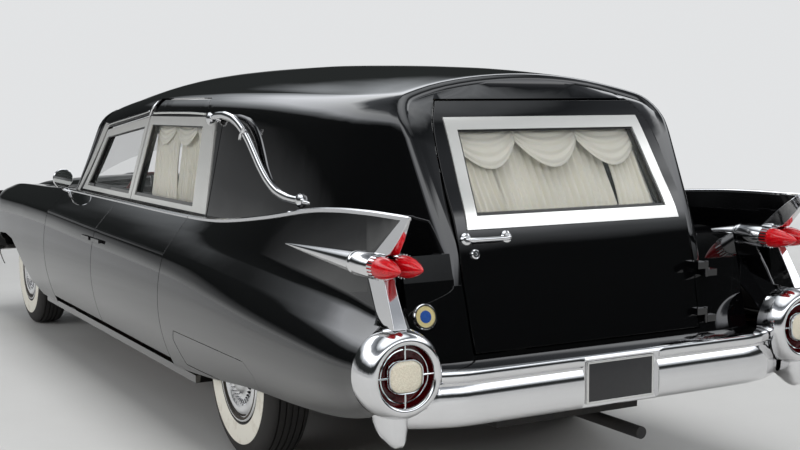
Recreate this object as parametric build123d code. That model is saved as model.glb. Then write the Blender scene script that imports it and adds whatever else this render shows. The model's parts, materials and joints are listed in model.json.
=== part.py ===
from build123d import *
import math
import os

os.makedirs("parts", exist_ok=True)

# The whole car. +X forward, +Y its left, +Z up, millimetres, standing on z = 0 with mid length at x = 0.
FRONT_AXLE_X = 2287
REAR_AXLE_X = -1675
WHEEL_Y = 790
TYRE_RADIUS = 370
TYRE_WIDTH = 206
RIM_RADIUS = 200
SPINDLE_RADIUS = 22
RUNNING_GAP = 0.05
SPINDLE_END_Y = 846
KINGPIN_Y = 690
AXLE_Z = TYRE_RADIUS
FLOOR_Z = 352
SILL_INNER_Y = 790
RAIL_FRONT_X = 2990
RAIL_REAR_X = -2960
EXHAUST_Z = 274.3

# Clearances
SEAM = 6
SEAT_GAP = 0.3
DOOR_BEVEL = 0.12

# Wall thicknesses
DOOR_WALL = 105
SKIN_WALL = 28
ROOF_WALL = 40
GLASS_WALL = 6
GLASS_INSET = 17
FRAME_RAIL = 44

# Door outlines in side view, at the widest plane of the body
HINGE_Y = 1036
BELT_Z = 1000
DOOR_SILL_Z = 345
FRONT_SEAM_X = 1178
MID_SEAM_X = 100
REAR_SEAM_X = -1058

SIDE_COLUMNS = ("x", "inner_y", "deck_z", "base_y", "cap_y", "top_y", "top_z", "shoulder_y", "shoulder_z",
                "crest_y", "crest_z", "mid_y", "mid_z", "sill_y", "sill_z")
SIDE_ROWS = (
    (3080, 706, 905, 785, 800, 822, 912, 890, 885, 945, 835, 975, 690, 950, 560),
    (2900, 706, 935, 800, 815, 838, 942, 912, 910, 972, 858, 1006, 660, 955, 430),
    (2600, 706, 960, 815, 830, 852, 967, 930, 925, 993, 872, 1026, 640, 962, 330),
    (1900, 706, 978, 825, 840, 866, 986, 934, 940, 1001, 882, 1032, 632, 958, 305),
    (1330, 738, 999.7, 830, 845, 869, 1001, 934, 942, 1003, 881, 1033, 630, 957, 305),
    (1178, 745, 999.7, 830, 845, 870, 1002, 934, 942, 1003, 880, 1034, 630, 957, 305),
    (100, 760, 999.7, 832, 848, 872, 1002, 934, 934, 1002, 856, 1034, 630, 957, 305),
    (-1058, 760, 999.7, 835, 850, 875, 1004, 933, 930, 1001, 836, 1034, 630, 958, 308),
    (-1500, 760, 999.7, 842, 856, 879, 1022, 932, 924, 1000, 824, 1035, 628, 960, 335),
    (-2000, 756, 999.7, 850, 864, 884, 1075, 931, 906, 996, 800, 1038, 628, 962, 385),
    (-2450, 706, 999.7, 856, 868, 888, 1135, 929, 882, 990, 784, 1040, 630, 962, 412),
    (-2700, 630, 996, 858, 870, 889, 1153, 927, 862, 986, 778, 1043, 633, 956, 430),
    (-2850, 640, 905, 858, 870, 890, 1158, 925, 845, 982, 775, 1045, 636, 948, 448),
    (-2950, 770, 800, 856, 869, 890, 1160, 922, 828, 978, 772, 1044, 638, 940, 468),
    (-3070, 770, 700, 852, 867, 889, 1160, 918, 812, 972, 768, 1040, 640, 930, 490),
)

COACH_COLUMNS = ("x", "base_y", "side_y", "side_z", "corner_y", "corner_z", "roof_y", "roof_z", "crown_z")
COACH_ROWS = (
    (1420, 792, 706, 1330, 672, 1385, 585, 1425, 1535),
    (1100, 795, 722, 1365, 690, 1425, 602, 1468, 1585),
    (700, 798, 735, 1415, 705, 1478, 622, 1524, 1645),
    (100, 800, 741, 1462, 713, 1528, 638, 1575, 1702),
    (-900, 800, 742, 1476, 715, 1542, 640, 1588, 1716),
    (-1540, 800, 740, 1472, 712, 1537, 634, 1582, 1702),
    (-2100, 796, 730, 1458, 698, 1523, 618, 1570, 1678),
    (-2400, 772, 702, 1452, 668, 1517, 590, 1565, 1655),
    (-2620, 704, 640, 1448, 604, 1512, 530, 1562, 1630),
    (-2780, 642, 575, 1432, 540, 1490, 470, 1535, 1600),
    (-2960, 560, 500, 1405, 465, 1460, 400, 1500, 1555),
)
COACH_BASE_Z = BELT_Z

# Height, rear face x and half width of the loading door and its opening
TAIL_ROWS = (
    (652, -2991, 514),
    (910, -2932, 530),
    (1098, -2883, 530),
    (1260, -2793, 526),
    (1450, -2680, 500),
    (1535, -2612, 452),
)
TAIL_WALL = 58
TAIL_HINGE = (-3004, -540)


def rowAt(columns, rows, x):
    """One row of a section table at any x, by a smooth curve through the rows."""
    ordered = sorted(rows)
    for k in range(len(ordered) - 1):
        if ordered[k][0] <= x <= ordered[k + 1][0]:
            break
    a, b = ordered[k], ordered[k + 1]
    before = ordered[k - 1] if k > 0 else a
    after = ordered[k + 2] if k + 2 < len(ordered) else b
    span = b[0] - a[0]
    u = (x - a[0]) / span
    out = {"x": x}
    for i in range(1, len(columns)):
        slope_a = (b[i] - before[i]) / (b[0] - before[0]) * span
        slope_b = (after[i] - a[i]) / (after[0] - a[0]) * span
        out[columns[i]] = (
            (2 * u**3 - 3 * u**2 + 1) * a[i] + (u**3 - 2 * u**2 + u) * slope_a
            + (3 * u**2 - 2 * u**3) * b[i] + (u**3 - u**2) * slope_b
        )
    return out


def block(x0, x1, y0, y1, z0, z1):
    return Pos((x0 + x1) / 2, (y0 + y1) / 2, (z0 + z1) / 2) * Box(abs(x1 - x0), abs(y1 - y0), abs(z1 - z0))


def rod(start, end, radius):
    start, end = Vector(*start), Vector(*end)
    plane = Plane(origin=start, z_dir=end - start)
    return Solid.make_cylinder(radius, (end - start).length, plane)


def across(shape):
    return shape.mirror(Plane.XZ)


def wireAt(x, points):
    """A closed wire in the plane at x: (y, z) corners, with a triple standing for an arc's middle point."""
    edges = []
    here = points[0]
    k = 1
    while k <= len(points):
        there = points[k % len(points)]
        if len(there) == 3:
            end = points[(k + 1) % len(points)]
            edges.append(Edge.make_three_point_arc((x, *here), (x, there[0], there[1]), (x, *end)))
            here = end
            k += 2
        else:
            edges.append(Edge.make_line((x, *here), (x, *there)))
            here = there
            k += 1
    return Wire(edges)


def ruled(wires):
    return Solid.make_loft(wires, True)


def sideWire(x, wall):
    r = rowAt(SIDE_COLUMNS, SIDE_ROWS, x)
    return wireAt(x, [
        (r["inner_y"], r["deck_z"]),
        (r["base_y"], r["deck_z"]),
        (r["cap_y"], r["top_z"]),
        (r["top_y"], r["top_z"]),
        (r["shoulder_y"], r["shoulder_z"]),
        (r["crest_y"], r["crest_z"]),
        (r["mid_y"], r["mid_z"], 0),
        (r["sill_y"], r["sill_z"]),
        (r["sill_y"] - wall, r["sill_z"]),
        (r["mid_y"] - wall, r["mid_z"], 0),
        (r["crest_y"] - wall, r["crest_z"] - wall / 2),
        (r["inner_y"], r["deck_z"] - wall),
    ])


def sidePanel(stations, wall):
    return ruled([sideWire(x, wall) for x in stations])


def coachPoints(x, inset):
    r = rowAt(COACH_COLUMNS, COACH_ROWS, x)
    return (
        (r["base_y"] - inset, COACH_BASE_Z),
        (r["side_y"] - inset, r["side_z"] - inset * 0.25),
        (r["corner_y"] - inset * 0.85, r["corner_z"] - inset * 0.55),
        (r["roof_y"] - inset * 0.45, r["roof_z"] - inset * 0.9),
        (0, r["crown_z"] - inset),
    )


def coachWire(x, outer, inner):
    """A U of even thickness standing on the belt: the outer skin, then back along the inner one."""
    a, b = coachPoints(x, outer), coachPoints(x, inner)

    def mirrored(point):
        return (-point[0], point[1])

    def mid(point):
        return (point[0], point[1], 0)

    return wireAt(x, [
        a[0], a[1], mid(a[2]), a[3], mid(a[4]), mirrored(a[3]), mid(mirrored(a[2])), mirrored(a[1]), mirrored(a[0]),
        mirrored(b[0]), mirrored(b[1]), mid(mirrored(b[2])), mirrored(b[3]), mid(b[4]), b[3], mid(b[2]), b[1], b[0],
    ])


def coachShell(stations, outer, inner):
    return ruled([coachWire(x, outer, inner) for x in stations])


def inset(outline, distance):
    """The closed outline moved inwards (or outwards when negative) by one distance, corner by corner."""
    count = len(outline)
    area = sum(outline[i][0] * outline[(i + 1) % count][1] - outline[(i + 1) % count][0] * outline[i][1]
               for i in range(count))
    side = 1 if area > 0 else -1
    lines = []
    for i in range(count):
        (ax, az), (bx, bz) = outline[i], outline[(i + 1) % count]
        length = math.hypot(bx - ax, bz - az)
        nx, nz = -(bz - az) / length * side, (bx - ax) / length * side
        lines.append((ax + nx * distance, az + nz * distance, bx - ax, bz - az))
    out = []
    for i in range(count):
        px, pz, dx, dz = lines[i - 1]
        qx, qz, ex, ez = lines[i]
        cross = dx * ez - dz * ex
        u = ((qx - px) * ez - (qz - pz) * ex) / cross
        out.append((px + u * dx, pz + u * dz))
    return out


def sidePrism(outline, y0, y1, inner_outline=None):
    """A prism seen from the side, tapering when the inner outline differs."""
    near = Wire.make_polygon([(x, y1, z) for x, z in outline], close=True)
    far = Wire.make_polygon([(x, y0, z) for x, z in inner_outline or outline], close=True)
    return ruled([far, near])


def planPrism(outline, z0, z1):
    return ruled([Wire.make_polygon([(x, y, z) for x, y in outline], close=True) for z in (z0, z1)])


def save(name, *shapes):
    solids = [s for shape in shapes for s in shape.solids()]
    for solid in solids:
        if solid.volume <= 0:
            raise ValueError(name)
    export_step(Compound(solids) if len(solids) > 1 else solids[0], f"parts/{name}.step")
    print(name, len(solids))


def both(name, shape):
    save(name, shape, across(shape))


def handed(name, shape):
    save(f"{name}_left", shape)
    save(f"{name}_right", across(shape))


# Side doors: each outline is the whole door in side view; the ends are bevelled so that both can swing.
PILLAR_LEAN = (-230, 480)


def pillarX(z):
    return MID_SEAM_X + PILLAR_LEAN[0] * max(0, z - BELT_Z) / PILLAR_LEAN[1]


FRONT_DOOR_TOP = ((705, 1385), (pillarX(1466) + 5, 1466))
FRONT_DOOR = [
    (FRONT_SEAM_X - SEAM / 2, DOOR_SILL_Z),
    (FRONT_SEAM_X - SEAM / 2, BELT_Z),
    *FRONT_DOOR_TOP,
    (MID_SEAM_X + SEAM / 2, BELT_Z),
    (MID_SEAM_X + SEAM / 2, DOOR_SILL_Z),
]
REAR_DOOR = [
    (MID_SEAM_X - SEAM / 2, DOOR_SILL_Z),
    (MID_SEAM_X - SEAM / 2, BELT_Z),
    (pillarX(1500) - 12, 1500),
    (-195, 1553),
    (-930, 1553),
    (-1010, 1475),
    (-1185, 1440),
    (-1088, BELT_Z + 5),
    (REAR_SEAM_X + SEAM / 2, BELT_Z - 20),
    (REAR_SEAM_X + SEAM / 2, DOOR_SILL_Z),
]
FRONT_HOLE = [
    (FRONT_SEAM_X + 4, BELT_Z - 10),
    (FRONT_SEAM_X + 4, BELT_Z),
    (712, 1396),
    (pillarX(1480) + 22, 1480),
    (MID_SEAM_X + 22, BELT_Z - 10),
]
REAR_HOLE = [
    (MID_SEAM_X - 22, BELT_Z - 10),
    (pillarX(1500) - 20, 1500),
    (-150, 1562),
    (-925, 1562),
    (-1012, 1483),
    (-1196, 1448),
    (-1098, BELT_Z - 10),
]
DOOR_INNER_Y = 560
bevel = DOOR_BEVEL * (HINGE_Y - DOOR_INNER_Y)


def narrowed(outline, forward_end, rear_end):
    """The outline with its two ends drawn in, for the inner face of a door."""
    middle = (max(p[0] for p in outline) + min(p[0] for p in outline)) / 2
    return [(x - forward_end if x > middle else x + rear_end, z) for x, z in outline]


coach_stations = [1420, 1100, 700, 400, 100, -400, -900, -1540, -2100, -2400, -2620, -2780, -2960]
shell = coachShell(coach_stations, 0, ROOF_WALL)
glass_shell = coachShell(coach_stations[:9], GLASS_INSET, GLASS_INSET + GLASS_WALL)

# Windscreen surface: two arcs, wide below and drawn back above
SCREEN_LOW_Z, SCREEN_HIGH_Z = BELT_Z, 1640
SCREEN_LOW = ((1290, 830), (1715, 0))
SCREEN_HIGH = ((600, 830), (965, 0))


def screenWire(z, corner, middle, forward):
    edges = [
        Edge.make_three_point_arc((corner[0], -corner[1], z), (middle[0], 0, z), (corner[0], corner[1], z)),
        Edge.make_line((corner[0], corner[1], z), (forward, corner[1], z)),
        Edge.make_line((forward, corner[1], z), (forward, -corner[1], z)),
        Edge.make_line((forward, -corner[1], z), (corner[0], -corner[1], z)),
    ]
    return Wire(edges)


def stripWire(z, corner, middle, wall):
    edges = [
        Edge.make_three_point_arc((corner[0], -corner[1], z), (middle[0], 0, z), (corner[0], corner[1], z)),
        Edge.make_line((corner[0], corner[1], z), (corner[0] - wall, corner[1], z)),
        Edge.make_three_point_arc((corner[0] - wall, corner[1], z), (middle[0] - wall, 0, z),
                                  (corner[0] - wall, -corner[1], z)),
        Edge.make_line((corner[0] - wall, -corner[1], z), (corner[0], -corner[1], z)),
    ]
    return Wire(edges)


screen_cut = ruled([screenWire(SCREEN_LOW_Z - 1, *SCREEN_LOW, 2200), screenWire(SCREEN_HIGH_Z + 100, *[
    (SCREEN_HIGH[0][0] - 108, SCREEN_HIGH[0][1]), (SCREEN_HIGH[1][0] - 117, 0)], 2200)])
screen_strip = ruled([stripWire(SCREEN_LOW_Z, *SCREEN_LOW, 12), stripWire(SCREEN_HIGH_Z, *SCREEN_HIGH, 12)])
hollow = ruled([wireAt(x, [coachPoints(x, ROOF_WALL)[0], coachPoints(x, ROOF_WALL)[1],
                           (*coachPoints(x, ROOF_WALL)[2], 0), coachPoints(x, ROOF_WALL)[3],
                           (*coachPoints(x, ROOF_WALL)[4], 0),
                           (-coachPoints(x, ROOF_WALL)[3][0], coachPoints(x, ROOF_WALL)[3][1]),
                           (-coachPoints(x, ROOF_WALL)[2][0], coachPoints(x, ROOF_WALL)[2][1], 0),
                           (-coachPoints(x, ROOF_WALL)[1][0], coachPoints(x, ROOF_WALL)[1][1]),
                           (-coachPoints(x, ROOF_WALL)[0][0], coachPoints(x, ROOF_WALL)[0][1])])
                for x in (1420, 1100, 700, 400)])

# Tail profile, as a band in side view
tail_profile = [(x, z) for z, x, half in TAIL_ROWS]
tail_profile = [(-3014, 545), *tail_profile, (-2560, 1600)]


def tailBand(y0, y1, near, far):
    """The slab behind the rear face, from one depth to another, between two y planes."""
    outline = [(x + near, z) for x, z in tail_profile] + [(x + far, z) for x, z in reversed(tail_profile)]
    return sidePrism(outline, y0, y1)


tail_behind = sidePrism([(x, z) for x, z in tail_profile] + [(-2560, 1900), (-3400, 1900), (-3400, 545)], -1100, 1100)


def tailWire(z, face_x, half, gap, depth_out, depth_in):
    """A door section at one height: the free edge is bevelled so that it clears as it swings."""
    lean = (face_x - TAIL_HINGE[0]) / (half - TAIL_HINGE[1])
    out_y, in_y = half + gap + lean * depth_out, half + gap - lean * depth_in
    return Wire.make_polygon([
        (face_x - depth_out, -half - gap, z), (face_x - depth_out, out_y, z),
        (face_x + depth_in, in_y, z), (face_x + depth_in, -half - gap, z)], close=True)


tail_door = ruled([tailWire(z, x, half, 0, 0, TAIL_WALL) for z, x, half in TAIL_ROWS])
hole_rows = [(TAIL_ROWS[0][0] - 8, *TAIL_ROWS[0][1:]), *TAIL_ROWS[1:-1],
             (TAIL_ROWS[-1][0] + 8, TAIL_ROWS[-1][1] + 6, TAIL_ROWS[-1][2])]
tail_hole = ruled([tailWire(z, x, half, SEAM + 1, 30, TAIL_WALL + 60) for z, x, half in hole_rows])

TAIL_WINDOW = [(-455, 1108), (455, 1108), (425, 1445), (-425, 1445)]


def rearPrism(outline, x0, x1):
    near = Wire.make_polygon([(x0, y, z) for y, z in outline], close=True)
    far = Wire.make_polygon([(x1, y, z) for y, z in outline], close=True)
    return ruled([near, far])


tail_window = rearPrism(TAIL_WINDOW, -3100, -2400)
tail_panel = tail_door - tail_window
hinge_halves = []
for z, face in ((700, -2990), (880, -2949)):
    x, y = TAIL_HINGE
    tail_panel = tail_panel + rod((x, y, z), (x, y, z + 30), 8) + block(x - 7, face, y, y + 48, z + 2, z + 28)
    tail_panel = tail_panel + block(face - 12, face + 22, y + 18, y + 48, z + 2, z + 28)
    half = rod((x, y, z - 30), (x, y, z - SEAT_GAP), 8) + block(x - 7, face, y - 48, y, z - 28, z - 2)
    hinge_halves.append(half + block(face - 12, face + 22, y - 48, y - 18, z - 28, z - 2))
save("tail_door", tail_panel)
tail_pane = tailBand(-500, 500, 24, 24 + GLASS_WALL) & tail_window
save("tail_glass", tail_pane)

# Coach shell with every opening cut, and the rear wall that the loading door shuts in


def coachEndWire(x):
    points = coachPoints(x, 1)
    rise = [points[0], points[1], (*points[2], 0), points[3]]
    fall = [(-points[3][0], points[3][1]), (-points[2][0], points[2][1], 0), (-points[1][0], points[1][1]),
            (-points[0][0], points[0][1])]
    return wireAt(x, rise + [(*points[4], 0)] + fall)


coach_end = ruled([coachEndWire(x) for x in coach_stations[-4:]])
rear_wall = tailBand(-700, 700, 0, ROOF_WALL) & coach_end
coach = shell - tail_behind - screen_cut
coach = coach + rear_wall - tail_hole
for hole in (FRONT_HOLE, REAR_HOLE):
    cut = sidePrism(hole, DOOR_INNER_Y, 1100)
    coach = coach - cut - across(cut)
save("coach_shell", coach)
save("windscreen", screen_strip & hollow)

# Side doors
HANDLES = {"front": (125, 275), "rear": (-75, 75)}
door_parts = {
    "front": (FRONT_DOOR, [FRONT_SEAM_X + 2, 800, 450, MID_SEAM_X - 2], 0, bevel),
    "rear": (REAR_DOOR, [MID_SEAM_X + 2, -300, -700, REAR_SEAM_X - 2], bevel, 0),
}
door_windows = {
    "front": [(FRONT_SEAM_X - 60, BELT_Z + 12), FRONT_DOOR_TOP[0], FRONT_DOOR_TOP[1], (MID_SEAM_X + 3, BELT_Z + 12)],
    "rear": [(MID_SEAM_X - 3, BELT_Z + 12), (pillarX(1470) - 5, 1470), (-1000, 1470), (-1178, 1436),
             (-1090, BELT_Z + 12)],
}
for place, (outline, stations, forward_end, rear_end) in door_parts.items():
    door_box = sidePrism(outline, DOOR_INNER_Y, HINGE_Y + 4, narrowed(outline, forward_end, rear_end))
    lower = sidePanel(stations, DOOR_WALL) & door_box
    upper = shell & door_box
    window = sidePrism(inset(door_windows[place], FRAME_RAIL), 400, 1100)
    frame = upper - window
    rail = sidePrism([(stations[0] - 1, BELT_Z - 32), (stations[-1] + 1, BELT_Z - 32), (stations[-1] + 1, BELT_Z + 12),
                      (stations[0] - 1, BELT_Z + 12)], 762, 797) & door_box
    handle_x = HANDLES[place]
    handle = block(*handle_x, 1022, 1036, 794, 812) + block(handle_x[0] + 6, handle_x[0] + 24, 960, 1024, 796, 810)
    handle = handle + block(handle_x[1] - 24, handle_x[1] - 6, 960, 1024, 796, 810)
    door = lower + rail + frame + handle
    save(f"{place}_left_door", door)
    save(f"{place}_right_door", across(door))
    pane = glass_shell & window & door_box
    save(f"{place}_left_glass", pane)
    save(f"{place}_right_glass", across(pane))

# Wings and quarters
FRONT_ARCH = [(1535, 250), (1545, 303), (1740, 372), (1880, 472), (2010, 565), (2130, 622), (2320, 642),
              (2530, 632), (2660, 560), (2740, 470), (2790, 250)]
REAR_OPENING = [(-1210, 462), (-1242, 508), (-2085, 516), (-2146, 470), (-2110, 250), (-1290, 250), (-1278, 380)]
SKIRT_LOW_Z = 352
front_arch = sidePrism(FRONT_ARCH, 640, 1150)
rear_opening = sidePrism(REAR_OPENING, 820, 1150)
FENDER_X = (FRONT_SEAM_X + SEAM / 2, 1330, 1550, 1900, 2250, 2600, 2900, 3080)


def fenderInnerY(x):
    """The fender's inner edge, which runs straight from station to station."""
    for x0, x1 in zip(FENDER_X, FENDER_X[1:]):
        if x0 <= x <= x1:
            y0, y1 = (rowAt(SIDE_COLUMNS, SIDE_ROWS, station)["inner_y"] for station in (x0, x1))
            return y0 + (y1 - y0) * (x - x0) / (x1 - x0)
    return None


fender = sidePanel(FENDER_X, SKIN_WALL) - front_arch
both("front_fenders", fender)
quarter = sidePanel([REAR_SEAM_X - SEAM / 2, -1500, -2000, -2450, -2700, -2850, -2950, -3070], SKIN_WALL)
skirt_outline = [(x, max(z, SKIRT_LOW_Z)) for x, z in inset(REAR_OPENING, SEAT_GAP)]
skirt = sidePanel([-1150, -1700, -2200], SKIN_WALL) & sidePrism(skirt_outline, 900, 1150)
QUARTER_END_X = SIDE_ROWS[-1][0]
NOTCH = [(QUARTER_END_X - 10, 1125), (QUARTER_END_X + 124, 1036), (QUARTER_END_X + 132, 936), (QUARTER_END_X + 30, 800),
         (QUARTER_END_X - 10, 800)]
quarter_body = quarter - rear_opening - sidePrism(NOTCH, 740, 1100)
both("quarters", Compound([quarter_body.solid(), skirt.solid()]))

# Lower tail around the loading door
sill_half = TAIL_ROWS[0][2] + SEAM + 12
CORNER_PLAN = [(-2640, 698), (-2780, 642), (-2900, 585), (-2900, 545), (-2780, 602), (-2640, 658)]
corner_wall = planPrism(CORNER_PLAN, 760, BELT_Z - SEAT_GAP) - tail_behind
tail_corner = tailBand(sill_half, 766, 0, TAIL_WALL) & block(-3200, -2700, 0, 900, 560, BELT_Z - SEAT_GAP)
tail_corner = tail_corner + corner_wall - tail_hole - quarter_body
tail_corner_right = tailBand(-766, -sill_half, 0, TAIL_WALL) & block(-3200, -2700, -900, 0, 560, BELT_Z - SEAT_GAP)
tail_corner_right = tail_corner_right + across(corner_wall)
tail_sill = sidePrism([(-3010, 560), (-2992, TAIL_ROWS[0][0] - SEAM), (-2860, TAIL_ROWS[0][0] - SEAM), (-2860, 560)],
                      -sill_half + SEAT_GAP, sill_half - SEAT_GAP)
tail_corner_right = tail_corner_right - tail_hole - across(quarter_body)
for half in hinge_halves:
    tail_corner_right = tail_corner_right + half
save("tail_surround", tail_corner, tail_corner_right, tail_sill)

# Sills, door posts and cowl
SILL_REAR_X = REAR_AXLE_X + TYRE_RADIUS - 3
sill = block(SILL_REAR_X, FRONT_SEAM_X + 330, 850, 945, 268, 303) + block(
    REAR_SEAM_X - 90, FRONT_SEAM_X - 20, SILL_INNER_Y, 852, 268, 338)
POST_FOOT_Z = FLOOR_Z + SEAT_GAP
post = block(66, 134, 700, 744, POST_FOOT_Z, BELT_Z - 1) + block(20, 180, 740, 758.8, 900, 985)
cowl_post = block(1190, 1290, 700, 736, POST_FOOT_Z, 940) + block(1110, 1290, 724, 744.4, 900, 940)
rear_post = block(-1140, -1075, 690, 744, POST_FOOT_Z, 940) + block(-1140, -1010, 740, 759.4, 900, 940)
both("sills_and_posts", Compound([p.solid() for p in (sill, post, cowl_post, rear_post)]))
COWL_X = 1770
COWL_TOP_Z = BELT_Z - SEAT_GAP
cowl_edge = [(x, fenderInnerY(x) - SEAT_GAP) for x in (1300, FENDER_X[1], FENDER_X[2], COWL_X)]
cowl = planPrism(cowl_edge + [(x, -y) for x, y in reversed(cowl_edge)], COWL_TOP_Z - 34, COWL_TOP_Z)
firewall = block(1420, 1450, -690, 690, POST_FOOT_Z, COWL_TOP_Z - 30) - block(1400, 1470, -151, 151, 340, 482)
save("cowl", cowl + firewall)

# Bonnet
HOOD_REAR_X = COWL_X + SEAM
HOOD_COLUMNS = ("x", "edge_y", "edge_z", "shoulder_y", "shoulder_z", "crown_z")
HOOD_ROWS = ((HOOD_REAR_X, 698, 985, 560, 1012, 1034), (2400, 698, 968, 560, 1002, 1026), (2800, 698, 946, 560, 978, 1000),
             (3070, 698, 905, 560, 925, 945))


def hoodWire(x):
    r = rowAt(HOOD_COLUMNS, HOOD_ROWS, x)
    wall = 24
    top = [(-r["edge_y"], r["edge_z"]), (-r["shoulder_y"], r["shoulder_z"]), (0, r["crown_z"], 0),
           (r["shoulder_y"], r["shoulder_z"]), (r["edge_y"], r["edge_z"])]
    low = [(r["edge_y"], r["edge_z"] - wall), (r["shoulder_y"], r["shoulder_z"] - wall),
           (0, r["crown_z"] - wall, 0), (-r["shoulder_y"], r["shoulder_z"] - wall), (-r["edge_y"], r["edge_z"] - wall)]
    return wireAt(x, top + low)


bonnet = ruled([hoodWire(x) for x in (HOOD_REAR_X, 2150, 2500, 2800, 3070)])
save("bonnet", bonnet)

# Front end
GRILLE_X = SIDE_ROWS[0][0] + SEAT_GAP
nose = block(GRILLE_X, GRILLE_X + 18, -940, 940, 470, 895)
lamp_y = (652, 832)
LAMP_RADIUS = 84
LAMP_Z = 745
for y in lamp_y:
    for s in (1, -1):
        nose = nose - rod((GRILLE_X - 5, s * y, LAMP_Z), (GRILLE_X + 30, s * y, LAMP_Z), LAMP_RADIUS + SEAT_GAP)
grille_window = block(GRILLE_X - 5, GRILLE_X + 30, -570, 570, 560, 850)
nose = nose - grille_window
latch = block(GRILLE_X - 42, GRILLE_X + 2, -25, 25, 852, 940) - Pos(0, 0, -SEAT_GAP) * bonnet
nose = nose + latch
save("nose_panel", nose)
GRILLE_HALF, GRILLE_BAR_Z, GRILLE_PITCH = 570, (600, 655, 710, 765, 818), 60
BAR_FRONT_X = GRILLE_X + 20
grille_y = range(-540, 541, GRILLE_PITCH)
bars = [block(GRILLE_X + 4, BAR_FRONT_X, -GRILLE_HALF, GRILLE_HALF, z, z + 9) for z in GRILLE_BAR_Z]
uprights = [block(GRILLE_X + 6, BAR_FRONT_X - 6, y - 3, y + 3, 585, 845) for y in grille_y]
jewels = [Solid.make_cone(12, 4, 15, Plane(origin=(BAR_FRONT_X - 1, y, z + 4.5), z_dir=(1, 0, 0)))
          for z in GRILLE_BAR_Z for y in grille_y]
save("grille", bars[0].fuse(*bars[1:], *uprights, *jewels))
lamps = []
for y in lamp_y:
    for s in (1, -1):
        can = rod((GRILLE_X - 60, s * y, LAMP_Z), (GRILLE_X + 22, s * y, LAMP_Z), LAMP_RADIUS)
        lamps.append(can)
save("headlamps", *lamps)
FRONT_FACE_X = SIDE_ROWS[0][0] + 107.5
BAR_BACK_X = SIDE_ROWS[0][0] + 30
BAR_WRAP_X = SIDE_ROWS[0][0] - 220
bar_outer = [(BAR_WRAP_X, 1030), (SIDE_ROWS[0][0], 1030), (FRONT_FACE_X - 48, 1000), (FRONT_FACE_X - 16, 930),
             (FRONT_FACE_X, 640)]
bar_inner = [(BAR_BACK_X, 640), (BAR_BACK_X, 940), (BAR_BACK_X - 24, 985), (BAR_WRAP_X, 985)]
bar_plan = bar_outer + [(x, -y) for x, y in reversed(bar_outer)] + [(x, -y) for x, y in reversed(bar_inner)] + bar_inner


def barLayer(low_z, high_z, setback):
    """One height of the rolled front bar: its whole plan, drawn back a little from the face."""
    plan = [(x - setback if x > BAR_BACK_X else x, y) for x, y in bar_plan]
    return planPrism(plan, low_z, high_z)


front_bar = barLayer(444, 476, 0) + barLayer(476, 492, 9) + barLayer(492, 546, 0)
front_bar = front_bar + barLayer(430, 444, 12) + barLayer(546, 560, 12)
front_bar = front_bar - fender - across(fender)
for side in (1, -1):
    front_bar = front_bar + block(RAIL_FRONT_X + SEAT_GAP, BAR_BACK_X + 2, side * 340, side * 410, 396, 468)
save("front_bumper", front_bar)

# Rear end: bumper with a plate recess, nacelles, tail pods
BUMPER_FACE_X = QUARTER_END_X - 95.5
BUMPER_BACK_X = QUARTER_END_X + 30
NACELLE_Y, NACELLE_Z, NACELLE_RADIUS = 893, 646, 152
BUMPER_HALF = NACELLE_Y - NACELLE_RADIUS - 1
BUMPER_LOW_Z = 436
BUMPER_TOP_Z = TAIL_ROWS[0][0] - 2 * SEAM
BUMPER_ROLL = (BUMPER_LOW_Z + 144, BUMPER_LOW_Z + 152, BUMPER_LOW_Z + 162)
PLATE_Z = 536
RECESS_FLOOR_X = BUMPER_FACE_X + 18
bumper_profile = [
    (BUMPER_BACK_X, BUMPER_LOW_Z), (BUMPER_FACE_X + 40, BUMPER_LOW_Z), (BUMPER_FACE_X + 12, BUMPER_LOW_Z + 14),
    (BUMPER_FACE_X, BUMPER_LOW_Z + 46), (BUMPER_FACE_X, BUMPER_ROLL[0] - 20), (BUMPER_FACE_X + 8, BUMPER_ROLL[0]),
    (BUMPER_FACE_X + 15, BUMPER_ROLL[1]), (BUMPER_FACE_X + 6, BUMPER_ROLL[2]), (BUMPER_FACE_X, BUMPER_TOP_Z - 32),
    (BUMPER_FACE_X, BUMPER_TOP_Z - 14), (BUMPER_FACE_X + 14, BUMPER_TOP_Z), (BUMPER_BACK_X, BUMPER_TOP_Z)]
bumper = sidePrism(bumper_profile, -BUMPER_HALF, BUMPER_HALF)
bumper = bumper - block(BUMPER_FACE_X - 20, RECESS_FLOOR_X, -170, 170, PLATE_Z - 88, PLATE_Z + 88)
for side in (1, -1):
    bumper = bumper + block(BUMPER_BACK_X - 2, RAIL_REAR_X - SEAT_GAP, side * 338, side * 412, 436, 466)
plate = block(RECESS_FLOOR_X - 7, RECESS_FLOOR_X - SEAT_GAP, -152, 152, PLATE_Z - 76, PLATE_Z + 76)
save("number_plate", plate)
BORE_WIDE, BORE_NARROW = 122, 103
FLOOR_DEPTH, LIP_DEPTH, NACELLE_DEPTH = 20, 98, 114.5
LENS_HALF, BEZEL_WALL = 42, 8


def rearPoint(depth, radius):
    """A point above the nacelle's centre line, by its depth behind the quarter."""
    return (QUARTER_END_X - depth, NACELLE_Y, NACELLE_Z + radius)


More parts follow.
